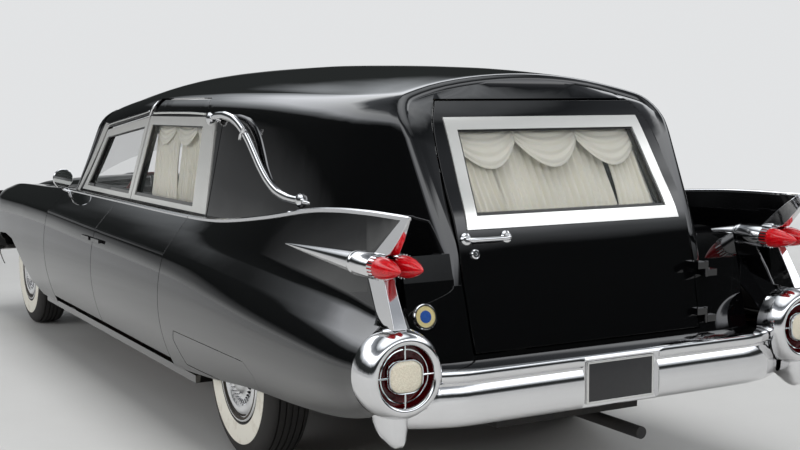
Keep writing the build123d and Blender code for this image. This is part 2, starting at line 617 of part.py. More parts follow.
nacelle_profile = Wire([
    Edge.make_line(rearPoint(SEAT_GAP, 0), rearPoint(SEAT_GAP, NACELLE_RADIUS - 3)),
    Edge.make_three_point_arc(rearPoint(SEAT_GAP, NACELLE_RADIUS - 3), rearPoint(48, NACELLE_RADIUS - 2),
                              rearPoint(88, NACELLE_RADIUS - 16)),
    Edge.make_three_point_arc(rearPoint(88, NACELLE_RADIUS - 16), rearPoint(NACELLE_DEPTH - 1, NACELLE_RADIUS - 34),
                              rearPoint(LIP_DEPTH, BORE_NARROW)),
    Edge.make_line(rearPoint(LIP_DEPTH, BORE_NARROW), rearPoint(FLOOR_DEPTH, BORE_WIDE)),
    Edge.make_line(rearPoint(FLOOR_DEPTH, BORE_WIDE), rearPoint(FLOOR_DEPTH, 0)),
    Edge.make_line(rearPoint(FLOOR_DEPTH, 0), rearPoint(SEAT_GAP, 0)),
])
nacelle = revolve(Face(nacelle_profile), Axis(rearPoint(0, 0), (1, 0, 0)))


def roundedBar(depth_a, depth_b, half, corner):
    """A bar of rounded square section on the nacelle's centre line."""
    start = QUARTER_END_X - depth_a
    square = Pos((start + QUARTER_END_X - depth_b) / 2, NACELLE_Y, NACELLE_Z) * Box(depth_b - depth_a, 2 * half, 2 * half)
    return fillet(square.edges().filter_by(Axis.X), corner)


bezel_out = LENS_HALF + SEAT_GAP + BEZEL_WALL
bezel = roundedBar(FLOOR_DEPTH + 36, LIP_DEPTH, bezel_out, 24) - roundedBar(FLOOR_DEPTH, LIP_DEPTH + 9,
                                                                           LENS_HALF + SEAT_GAP, 18 + SEAT_GAP)
spoke_reach = BORE_NARROW - bezel_out + 6
spokes = [Pos(QUARTER_END_X - LIP_DEPTH + 6, NACELLE_Y, NACELLE_Z) * Rot(90 * k, 0, 0)
          * Pos(0, 0, bezel_out - 2 + spoke_reach / 2) * Box(9, 7, spoke_reach) for k in range(4)]
both("rear_nacelles", nacelle.fuse(bezel, *spokes))


def cone(start_x, end_x, y, z, start_radius, end_radius):
    plane = Plane(origin=(start_x, y, z), z_dir=(-1, 0, 0))
    return Solid.make_cone(start_radius, end_radius, start_x - end_x, plane)


BOWL_DEPTH = FLOOR_DEPTH + 20
bore_taper = (BORE_WIDE - BORE_NARROW) / (LIP_DEPTH - FLOOR_DEPTH)
lens_back = cone(QUARTER_END_X - FLOOR_DEPTH - SEAT_GAP, QUARTER_END_X - BOWL_DEPTH, NACELLE_Y, NACELLE_Z,
                 BORE_WIDE - 0.4, BORE_WIDE - 20 * bore_taper - 0.4)
both("backup_lamps", lens_back + roundedBar(BOWL_DEPTH - 1, LIP_DEPTH + 4, LENS_HALF, 18))
SKEG_Y = (NACELLE_Y - 43, NACELLE_Y + 62)
SKEG = [(-1, 494), (370, 428), (350, 402), (10, 420), (-58, 452), (-70, 494)]
skeg = sidePrism([(QUARTER_END_X + x, z) for x, z in SKEG], *SKEG_Y) - quarter_body
save("rear_bumper", bumper, skeg, across(skeg))
POD_Y, POD_Z, POD_RADIUS = (NACELLE_Y - 58, NACELLE_Y + 25), 989, 41
POD_END_X = QUARTER_END_X + 50
POD_SHOULDER_X = POD_END_X + 150
SPEAR_TIPS = ((POD_END_X + 260, POD_Y[0], POD_Z), (POD_END_X + 720, POD_Y[1] - 11, POD_Z + 5))
TEETH = 20


def circleAt(x, y, z, radius):
    return Wire.make_circle(radius, Plane(origin=(x, y, z), z_dir=(-1, 0, 0)))


def toothedRing(x0, x1, y, z, low, high):
    """A serrated ring, as a star of flat teeth round the pod's mouth."""
    star = [(y + r * math.cos(math.pi * k / TEETH), z + r * math.sin(math.pi * k / TEETH))
            for k in range(2 * TEETH) for r in ((high,) if k % 2 else (low,))]
    return rearPrism(star, x0, x1)


pods = []
lenses = []
for y, tip in zip(POD_Y, SPEAR_TIPS):
    barrel = cone(POD_SHOULDER_X, POD_END_X + 12, y, POD_Z, 30, POD_RADIUS - 2)
    spear = Solid.make_loft([circleAt(*tip, 3), circleAt(POD_SHOULDER_X, y, POD_Z, 30)], True)
    teeth = toothedRing(POD_END_X + 12, POD_END_X, y, POD_Z, POD_RADIUS - 3, POD_RADIUS + 1)
    pods.append(barrel.fuse(spear, teeth))
    lens_x = POD_END_X - SEAT_GAP
    lens = cone(lens_x, lens_x - 60, y, POD_Z, 36, 33).fuse(cone(lens_x - 60, lens_x - 115, y, POD_Z, 33, 22),
                                                           cone(lens_x - 115, lens_x - 162, y, POD_Z, 22, 4))
    lenses.append(lens)
pod_solids = [pod - quarter_body for pod in pods]
both("tail_lenses", Compound([lens - quarter_body for lens in lenses]))
FIN_TIP = (QUARTER_END_X - 110, 1163)
fin_cap = sidePrism([(NOTCH[1][0] - SEAT_GAP, NOTCH[1][1] - 4), (QUARTER_END_X - SEAT_GAP, NOTCH[0][1] - 4),
                     (QUARTER_END_X - SEAT_GAP, 1160), FIN_TIP, (QUARTER_END_X + 40, 1031)], 866, 892)
fin_pillar = sidePrism([(NOTCH[2][0] - SEAT_GAP, 934), (QUARTER_END_X - 29, 942), (QUARTER_END_X - 101, 802),
                        (NOTCH[3][0] - SEAT_GAP, 802)], 872, 916)
fin_pieces = [piece for part in (fin_cap, fin_pillar) for piece in (part - quarter_body).solids()]
both("tail_pods", Compound([s for pod in pod_solids for s in pod.solids()] + fin_pieces))

# Landau bar on the rear pillar: an S standing off the panel on two feet
BAR_PATH = ((-1160, 1464), (-1290, 1478), (-1400, 1462), (-1490, 1428), (-1570, 1378), (-1640, 1318), (-1710, 1256),
            (-1790, 1202), (-1880, 1164), (-1990, 1146), (-2120, 1142))
BAR_Y = 822
bar_outline = [(x, z + 11) for x, z in BAR_PATH] + [(x, z - 11) for x, z in reversed(BAR_PATH)]
landau = sidePrism(bar_outline, BAR_Y - 6, BAR_Y + 6)
landau = landau + rod((-1170, 720, 1461), (-1170, BAR_Y + 9, 1461), 22) + rod(
    (-2120, 745, 1142), (-2120, BAR_Y + 9, 1142), 22)
both("landau_bars", landau - shell)

# Mirror on the left door
mirror = rod((1130, 862, 1003), (1150, 905, 1060), 9) + rod((1138, 912, 1075), (1162, 912, 1075), 62)
save("door_mirror", mirror - sidePanel([1170, 800, 450], DOOR_WALL))

save("tail_door_handle", block(-2945, -2929, 318, 512, 1038, 1054) + block(-2931, -2885, 330, 350, 1040, 1052)
     - tailBand(-600, 600, 0, TAIL_WALL) + (block(-2931, -2885, 480, 500, 1040, 1052) - tailBand(-600, 600, 0, TAIL_WALL)))

# Cabin
SHAFT_RADIUS = 28
TUNNEL_Z = 420
floor = block(-1142, 1450, -SILL_INNER_Y + SEAT_GAP, SILL_INNER_Y - SEAT_GAP, FLOOR_Z - 14, FLOOR_Z)
floor = floor - block(1060, 1460, -130, 130, 300, 400)
floor = floor + block(-1142, 10 - SEAT_GAP, -80, 80, FLOOR_Z - 14, TUNNEL_Z)
floor = floor - block(-1150, -4, -66, 66, 300, TUNNEL_Z - 14)
tunnel = block(1060, 1450, -150, 150, FLOOR_Z - 14, 480) - block(1040, 1460, -130, 130, 300, 462)
save("cab_floor", floor + tunnel)
DECK_Z = 600
deck = block(-2860, 40, -640, 640, DECK_Z - 24, DECK_Z)
partition = block(10, 40, -640, 640, DECK_Z, 990)
front_wall = block(10, 40, -640, 640, FLOOR_Z + SEAT_GAP, DECK_Z - 24)
rollers = [rod((x, -420, DECK_Z - 4), (x, 420, DECK_Z - 4), 22) for x in range(-2600, -200, 480)]
load_deck = deck + partition + front_wall
for roller in rollers:
    load_deck = load_deck + roller
save("load_deck", load_deck)
cushion = block(180, 720, -620, 620, 520, 640)
seat_base = block(220, 690, -590, 590, FLOOR_Z, 520 - SEAT_GAP)
squab = sidePrism([(70, 560), (179.7, 560), (179.7, 641), (150, 980), (60, 980)], -620, 620)
save("seat_base", seat_base)
save("front_seat", fillet(cushion.edges().filter_by(Axis.Y), 30), squab)
dash = sidePrism([(1300, 760), (1419.7, 740), (1419.7, 955), (1290, 950), (1250, 900)], -690, 690)
save("dashboard", dash)
column = rod((1290, 360, 850), (1046, 360, 908), 22)
rim_plane = Plane(origin=(1050, 360, 907), z_dir=(-230, 0, 55))
rim_section = [(190 + 13 * math.cos(math.radians(45 * k)), 0, 13 * math.sin(math.radians(45 * k))) for k in range(8)]
rim = rim_plane.location * revolve(Face(Wire.make_polygon(rim_section, close=True)), Axis.Z)
spoke = rim_plane.location * Box(14, 376, 14)
save("steering_wheel", rim + spoke + column - dash)

# Drapes: closed pleats hanging inside each rear window, on the door that holds it
PLEAT = 9
DRAPE_WALL = 8


def coachInnerY(x, z):
    (base_y, base_z), (side_y, side_z) = coachPoints(x, ROOF_WALL)[:2]
    return base_y + (side_y - base_y) * (z - base_z) / (side_z - base_z)


def sideDrapeWire(z, x0, x1, count):
    pitch = (x1 - x0) / count
    points = []
    for k in range(2 * count + 1):
        x = x0 + pitch * k / 2
        points.append((x, coachInnerY(x, z) - 1.5 - (0 if k % 2 else 2 * PLEAT)))
    back = [(x, y - DRAPE_WALL) for x, y in reversed(points)]
    return Wire.make_polygon([(x, y, z) for x, y in points + back], close=True)


side_drape = ruled([sideDrapeWire(BELT_Z + 14, -1050, -20, 16), sideDrapeWire(1456, -1110, -205, 16)])
handed("side_drape", side_drape)
DRAPE_HALF = 425
TAIL_PLEATS = 20


def tailDrapeWire(z, x):
    pitch = 2 * DRAPE_HALF / TAIL_PLEATS
    near = [(x + SEAT_GAP + (2 * PLEAT if k % 2 else 0), -DRAPE_HALF + pitch * k / 2) for k in range(2 * TAIL_PLEATS + 1)]
    far = [(px + DRAPE_WALL, y) for px, y in reversed(near)]
    return Wire.make_polygon([(px, y, z) for px, y in near + far], close=True)


def tailInnerX(z):
    for (z0, x0, half0), (z1, x1, half1) in zip(TAIL_ROWS, TAIL_ROWS[1:]):
        if z0 <= z <= z1:
            return x0 + (x1 - x0) * (z - z0) / (z1 - z0) + TAIL_WALL
    return None


save("tail_drapes", ruled([tailDrapeWire(z, tailInnerX(z)) for z in (1098, 1260, 1450, 1462)]))

# Chassis
RAIL_KICK_Z = 470
RAIL_TOP = ((RAIL_FRONT_X, 430), (1900, 430), (1640, 330), (-1150, 330), (-1400, 560), (-1950, 560), (-2200, 470),
            (RAIL_REAR_X, 470))
RAIL_LOW = ((RAIL_REAR_X, 390), (-2240, 390), (-2000, RAIL_KICK_Z), (-1430, RAIL_KICK_Z), (-1230, 230), (1560, 230),
            (1840, 330), (RAIL_FRONT_X, 330))
RAIL_Y = (332, 418)
rail = sidePrism([*RAIL_TOP, *RAIL_LOW], *RAIL_Y)
frame = rail + across(rail)
CROSS_MEMBERS = ((2230, 2350, 332, 400), (-150, 150, 232, EXHAUST_Z - 24.3), (2690, 2770, 392, 432),
                 (-2950, -2880, 395, 465), (2900, 2985, 335, 425), (-1560, -1500, 500, 556))
for x0, x1, z0, z1 in CROSS_MEMBERS:
    frame = frame + block(x0, x1, -RAIL_Y[0] - 2, RAIL_Y[0] + 2, z0, z1)
for x in (1050, -150, -1050):
    for side in (1, -1):
        frame = frame + block(x - 40, x + 40, side * (RAIL_Y[1] - 2), side * (SILL_INNER_Y - SEAT_GAP), 270, 328)
        frame = frame + block(x - 40, x + 40, side * 350, side * 400, 320, FLOOR_Z - 14 - SEAT_GAP)

KNUCKLE_LOW_Z, KNUCKLE_HIGH_Z = 262, 478
arms = None
for pivot_z, ball_z, reach, rail_z in ((KNUCKLE_LOW_Z - SEAT_GAP - 11, 251, 110, 345), (KNUCKLE_HIGH_Z + SEAT_GAP + 11, 489, 70, 415)):
    ball = Pos(FRONT_AXLE_X, KINGPIN_Y, pivot_z) * Cylinder(22, 22)
    arms = ball if arms is None else arms + ball
    arm_drop = -2 if pivot_z < AXLE_Z else 2
    for side in (-1, 1):
        arms = arms + rod((FRONT_AXLE_X + side * reach, RAIL_Y[1] - 12, rail_z), (FRONT_AXLE_X, KINGPIN_Y - 19, pivot_z + arm_drop), 8)
save("chassis_frame", frame + arms + across(arms))

knuckle = rod((FRONT_AXLE_X, KINGPIN_Y, KNUCKLE_LOW_Z), (FRONT_AXLE_X, KINGPIN_Y, KNUCKLE_HIGH_Z), 21)
knuckle = knuckle + rod((FRONT_AXLE_X, KINGPIN_Y, AXLE_Z), (FRONT_AXLE_X, SPINDLE_END_Y, AXLE_Z), SPINDLE_RADIUS)
handed("knuckle", knuckle)

axle = rod((REAR_AXLE_X, -660, AXLE_Z), (REAR_AXLE_X, 660, AXLE_Z), 42)
axle = axle + rod((REAR_AXLE_X, -SPINDLE_END_Y, AXLE_Z), (REAR_AXLE_X, SPINDLE_END_Y, AXLE_Z), SPINDLE_RADIUS)
axle = axle + rod((REAR_AXLE_X, -105, AXLE_Z), (REAR_AXLE_X, 105, AXLE_Z), 118)
SPRING_LOW_Z = AXLE_Z + 20
SPRING_HEIGHT = RAIL_KICK_Z - SEAT_GAP - SPRING_LOW_Z
for side in (1, -1):
    axle = axle + Pos(REAR_AXLE_X, side * 375, SPRING_LOW_Z + SPRING_HEIGHT / 2) * Cylinder(48, SPRING_HEIGHT)
save("rear_axle", axle)
save("driveshaft", rod((REAR_AXLE_X + 118 + 2 * SEAT_GAP, 0, 356), (1098.8, 0, 270), SHAFT_RADIUS))
save("engine_block", block(1560, 2420, -260, 260, 400 + SEAT_GAP, 860) + block(1100, 1562, -112, 112, 240, 455))
save("radiator", block(2700, 2760, -320, 320, 432, 880))
exhaust = rod((1620, -220, EXHAUST_Z), (-250, -220, EXHAUST_Z), 24) + rod((-250, -220, EXHAUST_Z), (-900, -220, EXHAUST_Z), 54)
exhaust = exhaust + rod((-900, -220, EXHAUST_Z), (-3010, -220, EXHAUST_Z), 24)
save("exhaust", exhaust + rod((1620, -220, EXHAUST_Z), (1620, -220, 400), 24))
save("fuel_tank", block(-2850, -2260, -RAIL_Y[0] + SEAT_GAP, RAIL_Y[0] - SEAT_GAP, 330, 560))

HOUSE_RADIUS = TYRE_RADIUS + 55
house = Pos(REAR_AXLE_X, 788, AXLE_Z) * Rot(90, 0, 0) * (Cylinder(HOUSE_RADIUS + 12, 286) - Cylinder(HOUSE_RADIUS, 290))
house = house + Pos(REAR_AXLE_X, 646.3, AXLE_Z) * Rot(90, 0, 0) * Cylinder(HOUSE_RADIUS + 12, 12)
house = house & block(-2200, -1100, 600, 960, 425, 900)
both("wheelhouses", house)


# Wheels
def wheelAt(x, y, side):
    turn = Rot(-90 * side, 0, 0)
    rim_ring = Cylinder(RIM_RADIUS - SEAT_GAP, 190) - Cylinder(RIM_RADIUS - 16, 192)
    bore = Cylinder(SPINDLE_RADIUS + RUNNING_GAP, 140)
    disc = Pos(0, 0, 45) * Cylinder(RIM_RADIUS - 10, 10)
    drum = Pos(0, 0, -10) * (Cylinder(140, 100) - Cylinder(128, 120)) + Pos(0, 0, 35) * Cylinder(140, 12)
    hub = Pos(0, 0, 30) * Cylinder(36, 50)
    inner = disc + drum + hub - Pos(0, 0, -14) * bore
    cap = Pos(0, 0, 64) * Cylinder(168, 14) + Pos(0, 0, 74) * Cylinder(60, 16)
    cap = cap + Pos(0, 0, 53) * (Cylinder(60, 10) - Cylinder(40, 12))
    return Pos(x, y, AXLE_Z) * turn * (rim_ring + inner + cap)


def tyreAt(x, y):
    half = TYRE_WIDTH / 2
    near = [(RIM_RADIUS, half - 22), (RIM_RADIUS + 18, half - 12), (290, half), (TYRE_RADIUS - 25, half - 16),
            (TYRE_RADIUS, half - 32)]
    corners = near + [(r, -z) for r, z in reversed(near)]
    profile = Wire.make_polygon([(r, 0, z) for r, z in corners], close=True)
    ring = revolve(Face(profile), Axis.Z)
    return Pos(x, y, AXLE_Z) * Rot(90, 0, 0) * ring


for end, axle_x in (("front", FRONT_AXLE_X), ("rear", REAR_AXLE_X)):
    for hand, side in (("left", 1), ("right", -1)):
        save(f"{end}_{hand}_wheel", wheelAt(axle_x, side * WHEEL_Y, side))
        save(f"{end}_{hand}_tyre", tyreAt(axle_x, side * WHEEL_Y))
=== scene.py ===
import bmesh
import bpy
import json
import math
from mathutils import Matrix, Vector

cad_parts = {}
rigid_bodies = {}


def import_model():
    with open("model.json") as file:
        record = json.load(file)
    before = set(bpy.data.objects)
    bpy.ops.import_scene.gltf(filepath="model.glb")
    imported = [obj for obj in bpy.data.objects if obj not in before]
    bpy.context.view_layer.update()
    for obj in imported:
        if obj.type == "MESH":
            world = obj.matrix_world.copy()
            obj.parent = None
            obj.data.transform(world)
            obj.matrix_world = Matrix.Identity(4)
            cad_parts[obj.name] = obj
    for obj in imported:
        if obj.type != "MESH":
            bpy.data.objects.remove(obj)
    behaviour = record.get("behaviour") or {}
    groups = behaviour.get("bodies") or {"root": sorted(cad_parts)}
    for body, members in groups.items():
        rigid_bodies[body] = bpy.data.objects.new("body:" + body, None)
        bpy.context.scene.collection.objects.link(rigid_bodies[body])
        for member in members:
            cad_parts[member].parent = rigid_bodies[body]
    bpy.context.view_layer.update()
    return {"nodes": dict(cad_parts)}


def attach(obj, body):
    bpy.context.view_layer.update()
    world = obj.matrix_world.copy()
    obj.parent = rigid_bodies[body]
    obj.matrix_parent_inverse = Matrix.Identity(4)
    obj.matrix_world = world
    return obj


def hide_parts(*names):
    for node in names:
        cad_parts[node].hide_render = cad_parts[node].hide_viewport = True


for startItem in list(bpy.data.objects):
    bpy.data.objects.remove(startItem)
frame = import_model()
nodes = frame["nodes"]
mm = 0.001
perMetre = 1000
weld = 0.00001
hands = ((1, "left"), (-1, "right"))
rounding = {"segments": 2, "angle": 40, "boxSegments": 3, "cornerShare": 0.48}
facets = {"wire": 8, "rod": 10, "stem": 12, "bar": 14, "column": 20, "boss": 32, "cap": 36, "hub": 40,
    "pod": 48, "disc": 56, "ring": 64}
print("frame loaded:", len(nodes), "nodes")


# Mesh helpers

def newPiece(name, bm, material, body, replaces=(), sharpAngle=32, bevel=0):
    bmesh.ops.recalc_face_normals(bm, faces=bm.faces)
    for face in bm.faces:
        face.smooth = True
    for edge in bm.edges:
        edge.smooth = len(edge.link_faces) != 2 or edge.calc_face_angle(0) < math.radians(sharpAngle)
    mesh = bpy.data.meshes.new(name)
    bm.to_mesh(mesh)
    bm.free()
    piece = linked(name, mesh)
    for each in material if isinstance(material, (list, tuple)) else [material]:
        mesh.materials.append(each)
    if bevel:
        edgeRound = piece.modifiers.new("edges", "BEVEL")
        edgeRound.width = bevel
        edgeRound.segments = rounding["segments"]
        edgeRound.limit_method = "ANGLE"
        edgeRound.angle_limit = math.radians(rounding["angle"])
        edgeRound.harden_normals = True
    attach(piece, body)
    if replaces:
        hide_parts(*replaces)
    return piece


def joined(*parts):
    whole = bmesh.new()
    for part in parts:
        mesh = bpy.data.meshes.new("part")
        part.to_mesh(mesh)
        part.free()
        whole.from_mesh(mesh)
        bpy.data.meshes.remove(mesh)
    return whole


def linked(name, data):
    item = bpy.data.objects.new(name, data)
    bpy.context.scene.collection.objects.link(item)
    return item


def moved(bm, shift):
    bmesh.ops.translate(bm, vec=shift, verts=bm.verts)
    return bm


def spun(bm, degrees, axis):
    turn = Matrix.Rotation(math.radians(degrees), 3, axis)
    bmesh.ops.rotate(bm, cent=(0, 0, 0), matrix=turn, verts=bm.verts)
    return bm


def sealed(bm):
    bmesh.ops.remove_doubles(bm, verts=bm.verts, dist=weld)
    return capped(bm)


def capped(bm):
    bmesh.ops.holes_fill(bm, edges=[edge for edge in bm.edges if edge.is_boundary])
    return bm


def circled(radius, turns):
    angle = 2 * math.pi * turns
    return radius * math.cos(angle), radius * math.sin(angle)


def mirrored(bm):
    bmesh.ops.scale(bm, vec=(1, -1, 1), verts=bm.verts)
    bmesh.ops.reverse_faces(bm, faces=bm.faces)
    return bm


def sided(bm, side):
    return bm if side > 0 else mirrored(bm)


def gridSkin(columns, rows, place):
    bm = bmesh.new()
    bmesh.ops.create_grid(bm, x_segments=columns, y_segments=rows, size=1)
    for vert in bm.verts:
        vert.co = place(round((vert.co.x + 1) / 2 * columns), round((vert.co.y + 1) / 2 * rows))
    return bm


def outwards(bm):
    bmesh.ops.recalc_face_normals(bm, faces=bm.faces)
    if bm.calc_volume(signed=True) < 0:
        bmesh.ops.reverse_faces(bm, faces=bm.faces[:])
    return bm


def shelled(bm, thickness, heart=(0, 0, 0.6)):
    bmesh.ops.recalc_face_normals(bm, faces=bm.faces)
    outward = sum(face.calc_area() * face.normal.dot(face.calc_center_median() - Vector(heart))
                  for face in bm.faces)
    if outward < 0:
        bmesh.ops.reverse_faces(bm, faces=bm.faces[:])
    bmesh.ops.solidify(bm, geom=bm.faces[:], thickness=thickness)
    return outwards(bm)


def prism(outline, axis, low, high):
    bm = bmesh.new()
    other = [k for k in range(3) if k != axis]
    verts = []
    for a, b in outline:
        place = [0, 0, 0]
        place[axis], place[other[0]], place[other[1]] = low, a, b
        verts.append(bm.verts.new(place))
    face = bm.faces.new(verts)
    grown = bmesh.ops.extrude_face_region(bm, geom=[face])["geom"]
    shift = Vector((0, 0, 0))
    shift[axis] = high - low
    bmesh.ops.translate(bm, vec=shift,
                        verts=[item for item in grown if isinstance(item, bmesh.types.BMVert)])
    bmesh.ops.recalc_face_normals(bm, faces=bm.faces)
    return bm


def carve(bm, cutter, operation="DIFFERENCE", folded=False):
    held = []
    for each in (bm, cutter):
        mesh = bpy.data.meshes.new("held")
        outwards(each).to_mesh(mesh)
        each.free()
        held.append(linked("held", mesh))
    cut = held[0].modifiers.new("cut", "BOOLEAN")
    cut.operation = operation
    cut.solver = "EXACT"
    cut.use_self = folded
    cut.object = held[1]
    bpy.context.view_layer.update()
    result = bpy.data.meshes.new_from_object(held[0].evaluated_get(bpy.context.evaluated_depsgraph_get()))
    out = bmesh.new()
    out.from_mesh(result)
    bpy.data.meshes.remove(result)
    for item in held:
        mesh = item.data
        bpy.data.objects.remove(item)
        bpy.data.meshes.remove(mesh)
    return out


def turned(profile, centre, axis="y", steps=64, side=1):
    bm = bmesh.new()
    verts = [bm.verts.new((radius, 0, along)) for radius, along in profile]
    edges = [bm.edges.new(pair) for pair in zip(verts, verts[1:])]
    bmesh.ops.spin(bm, geom=verts + edges, cent=(0, 0, 0), axis=(0, 0, 1), angle=2 * math.pi, steps=steps,
                   use_merge=True)
    bmesh.ops.remove_doubles(bm, verts=bm.verts, dist=weld)
    turns = {"y": Matrix.Rotation(math.radians(-90 * side), 4, "X"),
             "x": Matrix.Rotation(math.radians(90 * side), 4, "Y"), "z": Matrix.Identity(4)}
    bm.transform(Matrix.Translation(centre) @ turns[axis])
    return bm


def box(low, high, bevel=0):
    bm = bmesh.new()
    bmesh.ops.create_cube(bm, size=1)
    size = [high[k] - low[k] for k in range(3)]
    bmesh.ops.scale(bm, vec=size, verts=bm.verts)
    moved(bm, [(high[k] + low[k]) / 2 for k in range(3)])
    if bevel:
        bmesh.ops.bevel(bm, geom=bm.edges[:], offset=bevel, offset_type="OFFSET", affect="EDGES",
                        segments=rounding["boxSegments"], profile=0.5, material=-1)
    return bm


def tube(path, radius, sides=12, closed=False):
    count = len(path)
    path = [Vector(point) for point in path]
    tangents = []
    for k in range(count):
        if closed:
            tangents.append((path[(k + 1) % count] - path[k - 1]).normalized())
        else:
            tangents.append((path[min(k + 1, count - 1)] - path[max(k - 1, 0)]).normalized())
    normal = tangents[0].orthogonal().normalized()
    rings = []
    bm = bmesh.new()
    for k, point in enumerate(path):
        normal = (normal - tangents[k] * normal.dot(tangents[k])).normalized()
        binormal = tangents[k].cross(normal)
        width = radius[k] if isinstance(radius, (list, tuple)) else radius
        made = bmesh.ops.create_circle(bm, segments=sides, radius=width)["verts"]
        for vert in made:
            vert.co = point + normal * vert.co.x + binormal * vert.co.y
        rings.append([edge for edge in bm.edges if edge.verts[0] in made and edge.verts[1] in made])
    for k in range(count if closed else count - 1):
        bmesh.ops.bridge_loops(bm, edges=rings[k] + rings[(k + 1) % count])
    return bm if closed else capped(bm)


def curvePath(points, each=8):
    points = [Vector(point) for point in points]
    out = []
    for k in range(len(points) - 1):
        before, after = points[max(k - 1, 0)], points[min(k + 2, len(points) - 1)]
        for j in range(each):
            u = j / each
            out.append(0.5 * (2 * points[k] + (points[k + 1] - before) * u
                              + (2 * before - 5 * points[k] + 4 * points[k + 1] - after) * u * u
                              + (3 * points[k] - before - 3 * points[k + 1] + after) * u ** 3))
    out.append(points[-1])
    return out


# Materials

class Sock:
    def __init__(self, shader, link):
        self.shader, self.link = shader, link

    def math(self, operation, other):
        return self.shader.node("ShaderNodeMath", {"operation": operation}, {0: self, 1: other})

    def __add__(self, other):
        return self.math("ADD", other)

    def __mul__(self, other):
        return self.math("MULTIPLY", other)


class Finish:
    def __init__(self, name, color=None, **sockets):
        self.material = bpy.data.materials.new(name)
        self.material.use_nodes = True
        self.tree = self.material.node_tree
        self.shader = self.tree.nodes["Principled BSDF"]
        if color:
            self.shader.inputs["Base Color"].default_value = (*color, 1)
        for key, value in sockets.items():
            self.shader.inputs[key.replace("_", " ")].default_value = value

    def node(self, kind, settings=None, values=None, out=0):
        made = self.tree.nodes.new(kind)
        for key, value in (settings or {}).items():
            if key == "stops":
                while len(made.color_ramp.elements) < len(value):
                    made.color_ramp.elements.new(0.5)
                for stop, (place, color) in zip(made.color_ramp.elements, value):
                    stop.position = place
                    stop.color = (*color, 1)
            else:
                setattr(made, key, value)
        for key, value in (values or {}).items():
            self.feed(made.inputs[key], value)
        return Sock(self, made.outputs[out])

    def feed(self, socket, value):
        if isinstance(value, Sock):
            self.tree.links.new(value.link, socket)
        else:
            socket.default_value = value

    def where(self):
        return self.node("ShaderNodeTexCoord", out="Object")

    def noise(self, scale, detail=3, rough=0.55, stretch=None):
        place = self.where()
        if stretch:
            place = self.node("ShaderNodeMapping", {}, {"Vector": place, "Scale": stretch})
        values = {"Vector": place, "Scale": scale, "Detail": detail, "Roughness": rough}
        return self.node("ShaderNodeTexNoise", {}, values)

    def ramp(self, factor, *stops):
        return self.node("ShaderNodeValToRGB", {"stops": stops}, {0: factor})

    def mix(self, factor, a, b):
        return self.node("ShaderNodeMix", {"data_type": "RGBA"}, {0: factor, 6: (*a, 1), 7: (*b, 1)}, 2)

    def span(self, value, low, high):
        return self.node("ShaderNodeMapRange", {}, {0: value, 1: 0.0, 2: 1.0, 3: low, 4: high})

    def bump(self, height, strength, distance):
        values = {"Height": height, "Strength": strength, "Distance": distance}
        self.put("Normal", self.node("ShaderNodeBump", {}, values))

    def put(self, key, value):
        self.feed(self.shader.inputs[key], value)


class WorldShade(Finish):
    def __init__(self, world):
        self.tree = world.node_tree
        self.tree.nodes.remove(self.tree.nodes["Background"])


def glossBlack():
    f = Finish("glossBlack", Metallic=0.0, IOR=1.5, Coat_Weight=0.6, Coat_Roughness=0.015)
    dust = f.noise(2.2, 5, 0.6)
    low = f.node("ShaderNodeSeparateXYZ", {}, {0: f.where()}, "Z")
    grime = f.node("ShaderNodeMapRange", {"clamp": True}, {0: low, 1: 0.62, 2: 0.26, 3: 0.0, 4: 1.0})
    haze = grime * dust
    f.put("Base Color", f.mix(haze * 0.5, (0.0015, 0.0015, 0.0018), (0.03, 0.027, 0.023)))
    f.put("Roughness", f.span(haze, 0.008, 0.16))
    f.bump(f.noise(14, 2), 0.02, 0.002)
    return f.material


def chrome(name="chrome", tint=(0.83, 0.83, 0.84), rough=0.045, spread=2.6, ripple=0.02, metal=1.0):
    f = Finish(name, tint, Metallic=metal)
    smear = f.noise(9, 4, 0.6)
    f.put("Base Color", f.mix(f.span(smear, 0.0, 0.5), tint, tuple(c * 0.86 for c in tint)))
    f.put("Roughness", f.span(smear, rough, rough * spread))
    f.bump(f.noise(60, 2), ripple, 0.001)
    return f.material


def brightSteel():
    f = Finish("brightSteel", Metallic=1.0)
    grain = f.noise(1, 3, 0.5, stretch=(60, 900, 900))
    f.put("Base Color", f.mix(grain, (0.78, 0.78, 0.77), (0.68, 0.68, 0.67)))
    f.put("Roughness", f.span(grain, 0.14, 0.26))
    return f.material


def paneGlass(name, tint, alpha):
    f = Finish(name, tint, Roughness=0.01, IOR=1.5, Alpha=alpha)
    film = f.noise(3, 4)
    f.put("Roughness", f.span(film, 0.004, 0.03))
    f.put("Base Color", f.mix(film, tint, tuple(min(1, c * 1.25) for c in tint)))
    f.material.surface_render_method = "BLENDED"
    return f.material


def lensPlastic(name, deep, bright, facets=260, rough=0.06, strength=0.35):
    f = Finish(name, IOR=1.49, Coat_Weight=0.25, Coat_Roughness=0.02, Subsurface_Weight=0.06)
    f.shader.inputs["Subsurface Radius"].default_value = (0.02, 0.004, 0.004)
    cells = f.node("ShaderNodeTexVoronoi", {}, {"Vector": f.where(), "Scale": facets})
    f.put("Base Color", f.mix(f.ramp(cells, (0.1, (0, 0, 0)), (0.75, (1, 1, 1))), deep, bright))
    f.put("Roughness", f.span(f.noise(14), rough, rough * 2))
    f.bump(cells, strength, 0.0015)
    return f.material


def tyreRubber():
    f = Finish("tyreRubber", Specular_IOR_Level=0.35)
    wear = f.noise(26, 5, 0.6)
    f.put("Base Color", f.mix(wear, (0.012, 0.012, 0.013), (0.04, 0.037, 0.034)))
    f.put("Roughness", f.span(wear, 0.55, 0.85))
    f.bump(f.noise(420, 3), 0.25, 0.001)
    return f.material


